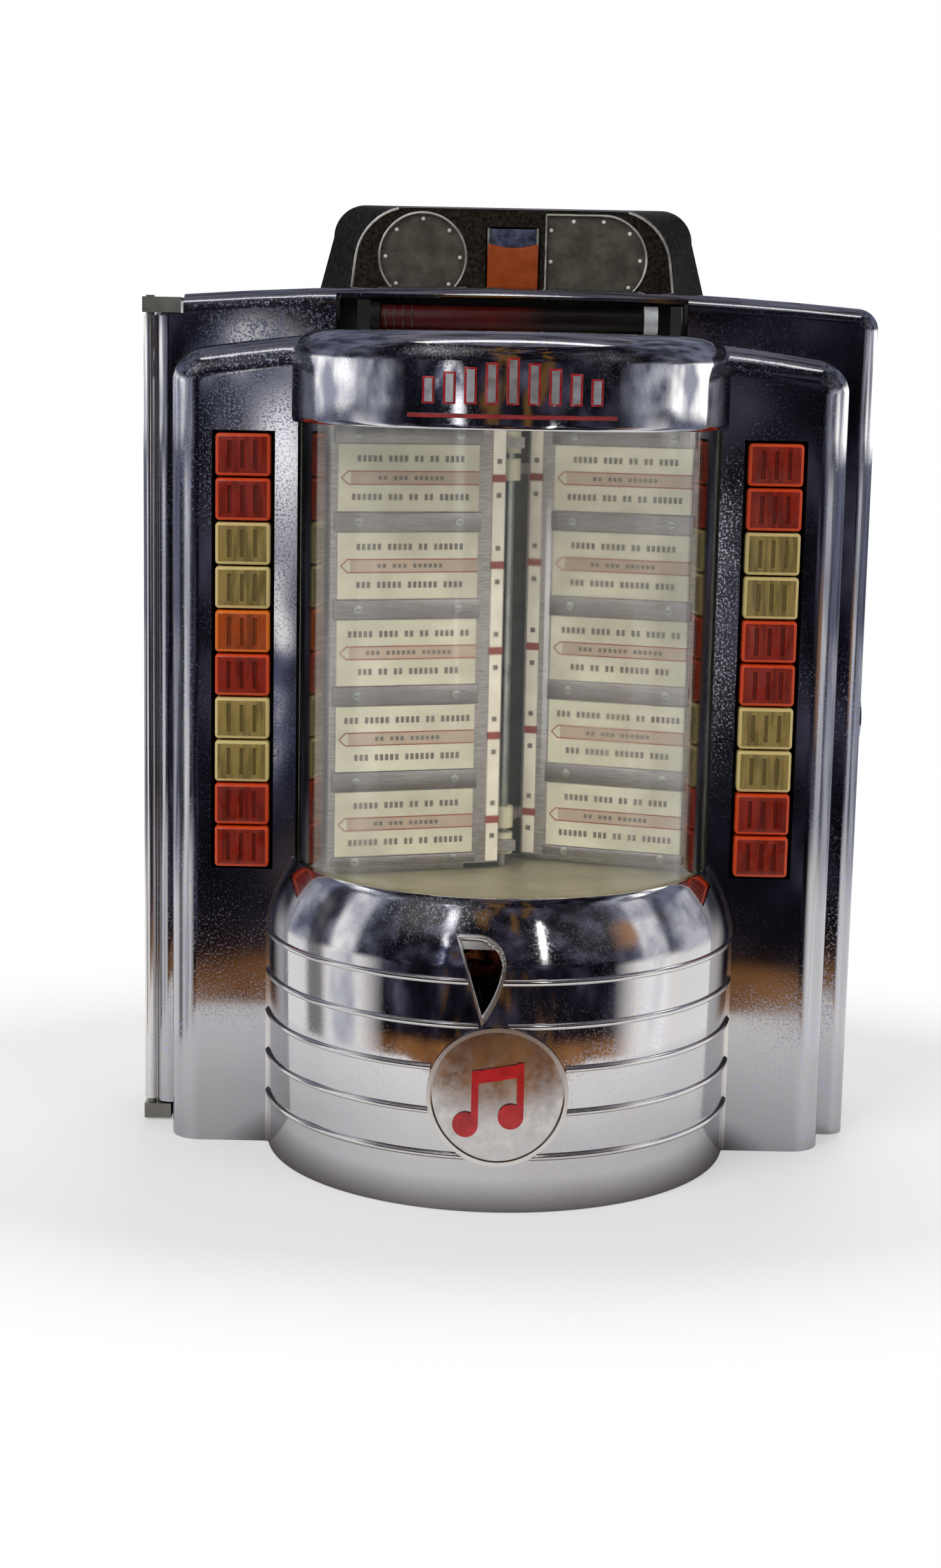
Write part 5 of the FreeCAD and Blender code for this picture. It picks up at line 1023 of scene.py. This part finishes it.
def lamp_shield():
    """The black plate behind the lamp, with room for the arms of the lamp's holders."""
    mesh = bmesh.new()
    for left, right in SHIELD_PLATES:
        block(mesh, (left, SHIELD_FRONT, SHIELD_LOW), (right, SHIELD_BACK, SHIELD_HIGH), 0.3)
    below, above = SHIELD_ARM_GAP
    for left, right in ((-53.6, -47.4), (47.4, 53.6)):
        block(mesh, (left, SHIELD_FRONT, above), (right, SHIELD_BACK, SHIELD_HIGH), 0.3)
        block(mesh, (left, SHIELD_FRONT, SHIELD_LOW), (right, SHIELD_BACK, below), 0.3)
    finished("lamp_shield", mesh, "cover", SHIELD)


def red_lamp():
    """The red lamp tube with the rings at its end."""
    mesh = bmesh.new()
    axis = (0, LAMP_BACK, LAMP_HEIGHT)
    disc_rod(mesh, LAMP_RADIUS, -LAMP_HALF, LAMP_HALF, axis, "X", 40, 0.6)
    for step in range(LAMP_RING_COUNT):
        out = LAMP_RING_FIRST + LAMP_RING_PITCH * step
        disc_rod(mesh, LAMP_RADIUS + 0.1, out, out + LAMP_RING_WIDE, axis, "X", 40, 0.2, material=1)
    finished("red_lamp_tube", mesh, "cover", [RED_LAMP, LAMP_RING], ["lamp_tube"])


# ---------------------------------------------------------------- camera, floor and light

def stand_camera():
    camera = bpy.data.cameras.new("camera")
    camera.sensor_width, camera.lens = 36, LENS
    camera.clip_start, camera.clip_end = 0.01, 50
    holder = in_scene("camera", camera)
    heading, pitch, roll = (math.radians(turn) for turn in CAMERA_TURNS)
    look = Matrix.Rotation(heading, 4, "Z") @ Matrix.Rotation(pitch, 4, "X") @ Matrix.Rotation(roll, 4, "Z")
    holder.matrix_world = Matrix.Translation(CAMERA_PLACE) @ look
    bpy.context.scene.camera = holder


def lamp(name, place, aim, size, power):
    """A broad white lamp that faces a place."""
    light = bpy.data.lights.new(name, "AREA")
    light.shape = "RECTANGLE"
    light.size, light.size_y = size
    light.energy = power
    way = Vector(aim) - Vector(place)
    in_scene(name, light).matrix_world = (Matrix.Translation(place)
                                          @ way.to_track_quat("-Z", "Y").to_matrix().to_4x4())


def seen(nodes, path):
    """1 for the camera's, glossy and transmitted rays, and 0 for the rest."""
    direct = nodes.math("MAXIMUM", path["Is Camera Ray"], path["Is Glossy Ray"])
    return nodes.math("MAXIMUM", direct, path["Is Transmission Ray"])


def light_world():
    """Soft white light all round that is plain white where it is seen."""
    world = bpy.data.worlds.new("studio")
    bpy.context.scene.world = world
    world.use_nodes = True
    nodes = Nodes(world.node_tree)
    path = nodes.add("ShaderNodeLightPath", {}).node.outputs
    soft, white = (nodes.add("ShaderNodeBackground", {"Color": (1, 1, 1, 1), "Strength": strength})
                   for strength in (0.45, 1.0))
    nodes.put(nodes.choose(seen(nodes, path), soft, white),
              nodes.tree.nodes["World Output"].inputs["Surface"])


def fade(made, value, limits, results, kind="LINEAR"):
    """Goes from one result to another as a value passes between its limits."""
    values = {"Value": value, "From Min": limits[0], "From Max": limits[1], "To Min": results[0],
              "To Max": results[1]}
    return made.add("ShaderNodeMapRange", values, interpolation_type=kind)


def lay_floor():
    """A pale floor that turns white away from the part. Round the drum's foot it is mirrored dark, a painted
    shadow.
    """
    mesh = bmesh.new()
    bmesh.ops.create_grid(mesh, x_segments=1, y_segments=1, size=FLOOR_HALF)
    made = Finish("pale_floor", FLOOR_GREY, roughness=0.6)
    path = made.add("ShaderNodeLightPath", {}).node.outputs
    stretched = made.stretched(FLOOR_STRETCH, FLOOR_SHIFT)
    away = made.add("ShaderNodeVectorMath", {0: stretched}, "Value", operation="LENGTH")
    away = made.times(fade(made, away, FLOOR_FADE, (0.0, 1.0), "SMOOTHSTEP"), seen(made, path))
    white = made.math("MAXIMUM", away, made.times(path["Is Camera Ray"], FLOOR_WHITE_NEAR))
    from_axis = made.add("ShaderNodeVectorMath", {0: made.place, 1: (0, ROUND_BACK * MM, 0)}, "Value",
                         operation="DISTANCE")
    # A painted shadow round the drum's foot, seen only in reflections.
    mirrored = made.times(fade(made, from_axis, FOOT_RING, (1.0, 0.0)), path["Is Glossy Ray"])
    made.colour(made.mix(mirrored, FLOOR_GREY, FOOT_PAINTED_SHADOW))
    made.surface(made.choose(white, made.shader.outputs[0], made.add("ShaderNodeEmission", {})))
    floor = object_of("floor", mesh, [made.material])


def room_paint():
    """What the chrome mirrors: dark in front, hazy grey beside, and pale behind."""
    made = Finish("mirrored_room", "000000")
    x, y, z = made.axes()
    across = made.math("ABSOLUTE", x)
    high = made.ramp(z, (0.250, 0.0), (0.262, 1.0), (0.302, 1.0), (0.318, 0.0))
    forward = made.math("SUBTRACT", made.times(y, -1 / ROOM_RADIUS), made.times(high, 0.13))
    over = made.times(made.rise(z, 0.30, 0.33), 0.16)
    aside = made.math("SUBTRACT", made.times(across, 1 / ROOM_RADIUS), over)

    dark = made.ramp(made.noise(20), (0.36, "0b0b10"), (0.50, "1b1b26"), (0.60, "3a3846"), (0.74, "6c6880"))
    warm = made.ramp(made.noise(26, stretch=(1, 1, 0.5)), (0.57, 0.0), (0.64, 0.8))
    dark = made.mix(made.times(warm, made.fall(across, 0.085, 0.105)), dark, "7d5a2c")
    mottle = made.noise(64, 4, stretch=(1, 1, 0.6))
    mottle = made.ramp(mottle, (0.40, "23253a"), (0.50, "7c80a0"), (0.60, 1.3))
    dark = made.mix(made.fall(made.distance((x, -0.118), (z, 0.285)), 0.018, 0.030), dark, mottle)
    tall = made.ramp(z, (0.085, 0.0), (0.11, 1.0), (0.262, 1.0), (0.285, 0.0))
    beside = made.times(made.fall(made.off(x, -0.1005), 0.005, 0.013), tall)
    patchy = made.noise(46, 4, stretch=(1, 1, 0.5))
    patchy = made.ramp(patchy, (0.42, "24273c"), (0.52, "666b90"), (0.62, 1.5))
    dark = made.mix(beside, dark, made.mix(made.rise(z, 0.190, 0.240), patchy, (1.8, 1.8, 1.9, 1)))
    brown = made.ramp(made.noise(18), (0.35, "6e4628"), (0.65, "a87444"))
    dark = made.mix(made.fall(z, 0.012, 0.019), dark, brown)

    haze = made.ramp(made.noise(17), (0.36, "33353f"), (0.50, "5a5d6e"), (0.64, "8f90a0"))
    haze = made.mix(made.fall(made.distance((x, 0.205), (z, 0.165)), 0.02, 0.045), haze, "b48a6c")
    haze = made.mix(made.fall(z, 0.07, 0.10), haze, (1.05, 1.02, 1.0, 1))
    strip = made.times(made.fall(made.off(y, -0.078), 0.022, 0.036), made.fall(z, 0.235, 0.255))
    haze = made.mix(strip, haze, made.ramp(made.noise(12), (0.34, "b4b6c4"), (0.60, 1.2)))
    haze = made.mix(high, haze, made.ramp(made.noise(30, 4), (0.36, "575a6e"), (0.62, "c9ccd8")))
    left_gap = made.ramp(made.distance((x, -0.25), (y, -0.008)), (0.016, 0.75), (0.034, 0.0))
    left_gap = made.times(left_gap, made.fall(z, 0.235, 0.25))
    haze = made.mix(left_gap, haze, "1c1a18")

    dull = made.ramp(made.noise(14), (0.38, "6a6d82"), (0.62, "d2d4de"))
    shade = made.ramp(made.noise(14), (0.38, "3c3f4e"), (0.62, "80849a"))
    blotch = made.ramp(made.noise(15, 2), (0.36, "b4b7ca"), (0.47, 1.5), (0.60, 2.6))
    behind = made.mix(made.fall(z, 0.165, 0.185), shade, dull)
    behind = made.mix(made.fall(z, 0.060, 0.085), behind, (1, 1, 1, 1))
    behind = made.mix(left_gap, behind, "1c1a18")
    behind = made.mix(high, behind, blotch)

    front = made.mix(made.fall(aside, 0.76, 0.88), haze, dark)
    made.shine(made.mix(made.rise(forward, 0.0, 0.12), behind, front))
    return made.material


def ceiling_paint():
    """The dim ceiling that the upper edges mirror, with one long bright window."""
    made = Finish("mirrored_ceiling", "000000")
    window = made.fall(made.off(made.axes()[1], -0.10), 0.025, 0.035)
    dim = made.ramp(made.noise(10), (0.35, "33323a"), (0.65, "6d6c76"))
    made.shine(made.mix(window, dim, (1, 1, 1, 1)), 1.6)
    return made.material


def card_paint():
    """A bright card that fades at both ends."""
    made = Finish("bright_card", "ffffff")
    height = made.axes()[2]
    made.shine(made.ramp(height, (0.11, 0.0), (0.14, 0.5), (0.19, 1.0), (0.215, 1.0), (0.24, 0.0)), 6.0)
    return made.material


def stand_card(name, mesh, material):
    """A card that is only mirrored. The camera doesn't see it, and it gives no light or shadow."""
    card = object_of(name, mesh, [material])
    card.visible_camera = card.visible_diffuse = card.visible_shadow = card.visible_transmission = False


def stand_cards():
    """A round wall and its ceiling that only the chrome mirrors, and a slim bright card inside."""
    mesh = bmesh.new()
    bmesh.ops.create_cone(mesh, cap_ends=False, segments=128, radius1=ROOM_RADIUS, radius2=ROOM_RADIUS,
                          depth=ROOM_HEIGHT)
    bmesh.ops.translate(mesh, vec=(0, 0, ROOM_HEIGHT / 2 + ROOM_LIFT), verts=mesh.verts)
    block(mesh, *ROOM_FLOOR)
    stand_card("mirrored_room", mesh, room_paint())
    mesh = bmesh.new()
    bmesh.ops.create_circle(mesh, cap_ends=True, segments=64, radius=ROOM_RADIUS)
    bmesh.ops.translate(mesh, vec=(0, 0, ROOM_HEIGHT + ROOM_LIFT), verts=mesh.verts)
    stand_card("mirrored_ceiling", mesh, ceiling_paint())
    mesh = bmesh.new()
    block(mesh, *BRIGHT_CARD)
    turn = Matrix.Rotation(math.radians(BRIGHT_CARD_TURN), 3, "Z")
    bmesh.ops.rotate(mesh, cent=(0, 0, 0), matrix=turn, verts=mesh.verts)
    stand_card("bright_card", mesh, card_paint())


finish_nodes()
lower_drum()
drum_edge_trim()
top_cap()
window_dome()
ornament_red_edges()
teardrop_badge()
leaves = {"left": Leaf(LEFT_ANGLE, LEFT_FACE, 1, True), "right": Leaf(RIGHT_ANGLE, RIGHT_FACE, -1, False)}
for fit in (title_cards, clamp_bars):
    for side, leaf in leaves.items():
        fit(side, leaf, side + "_page")
keycaps()
contact_blades()
head_highlight_line_and_rings()
window_beads()
coin_return_key()
return_spring()
lamp_shield()
red_lamp()
stand_camera()
light_world()
lay_floor()
stand_cards()
lamp("key_light", (-0.9, -1.1, 1.3), (0, 0, 0.15), (0.9, 0.9), 14)
lamp("fill_light", (1.1, -0.9, 0.9), (0, 0, 0.15), (0.8, 0.8), 5)
lamp("back_light", (0.2, 1.2, 1.2), (0, 0, 0.2), (1.0, 0.8), 8)

bpy.context.scene.view_settings.view_transform = "Standard"
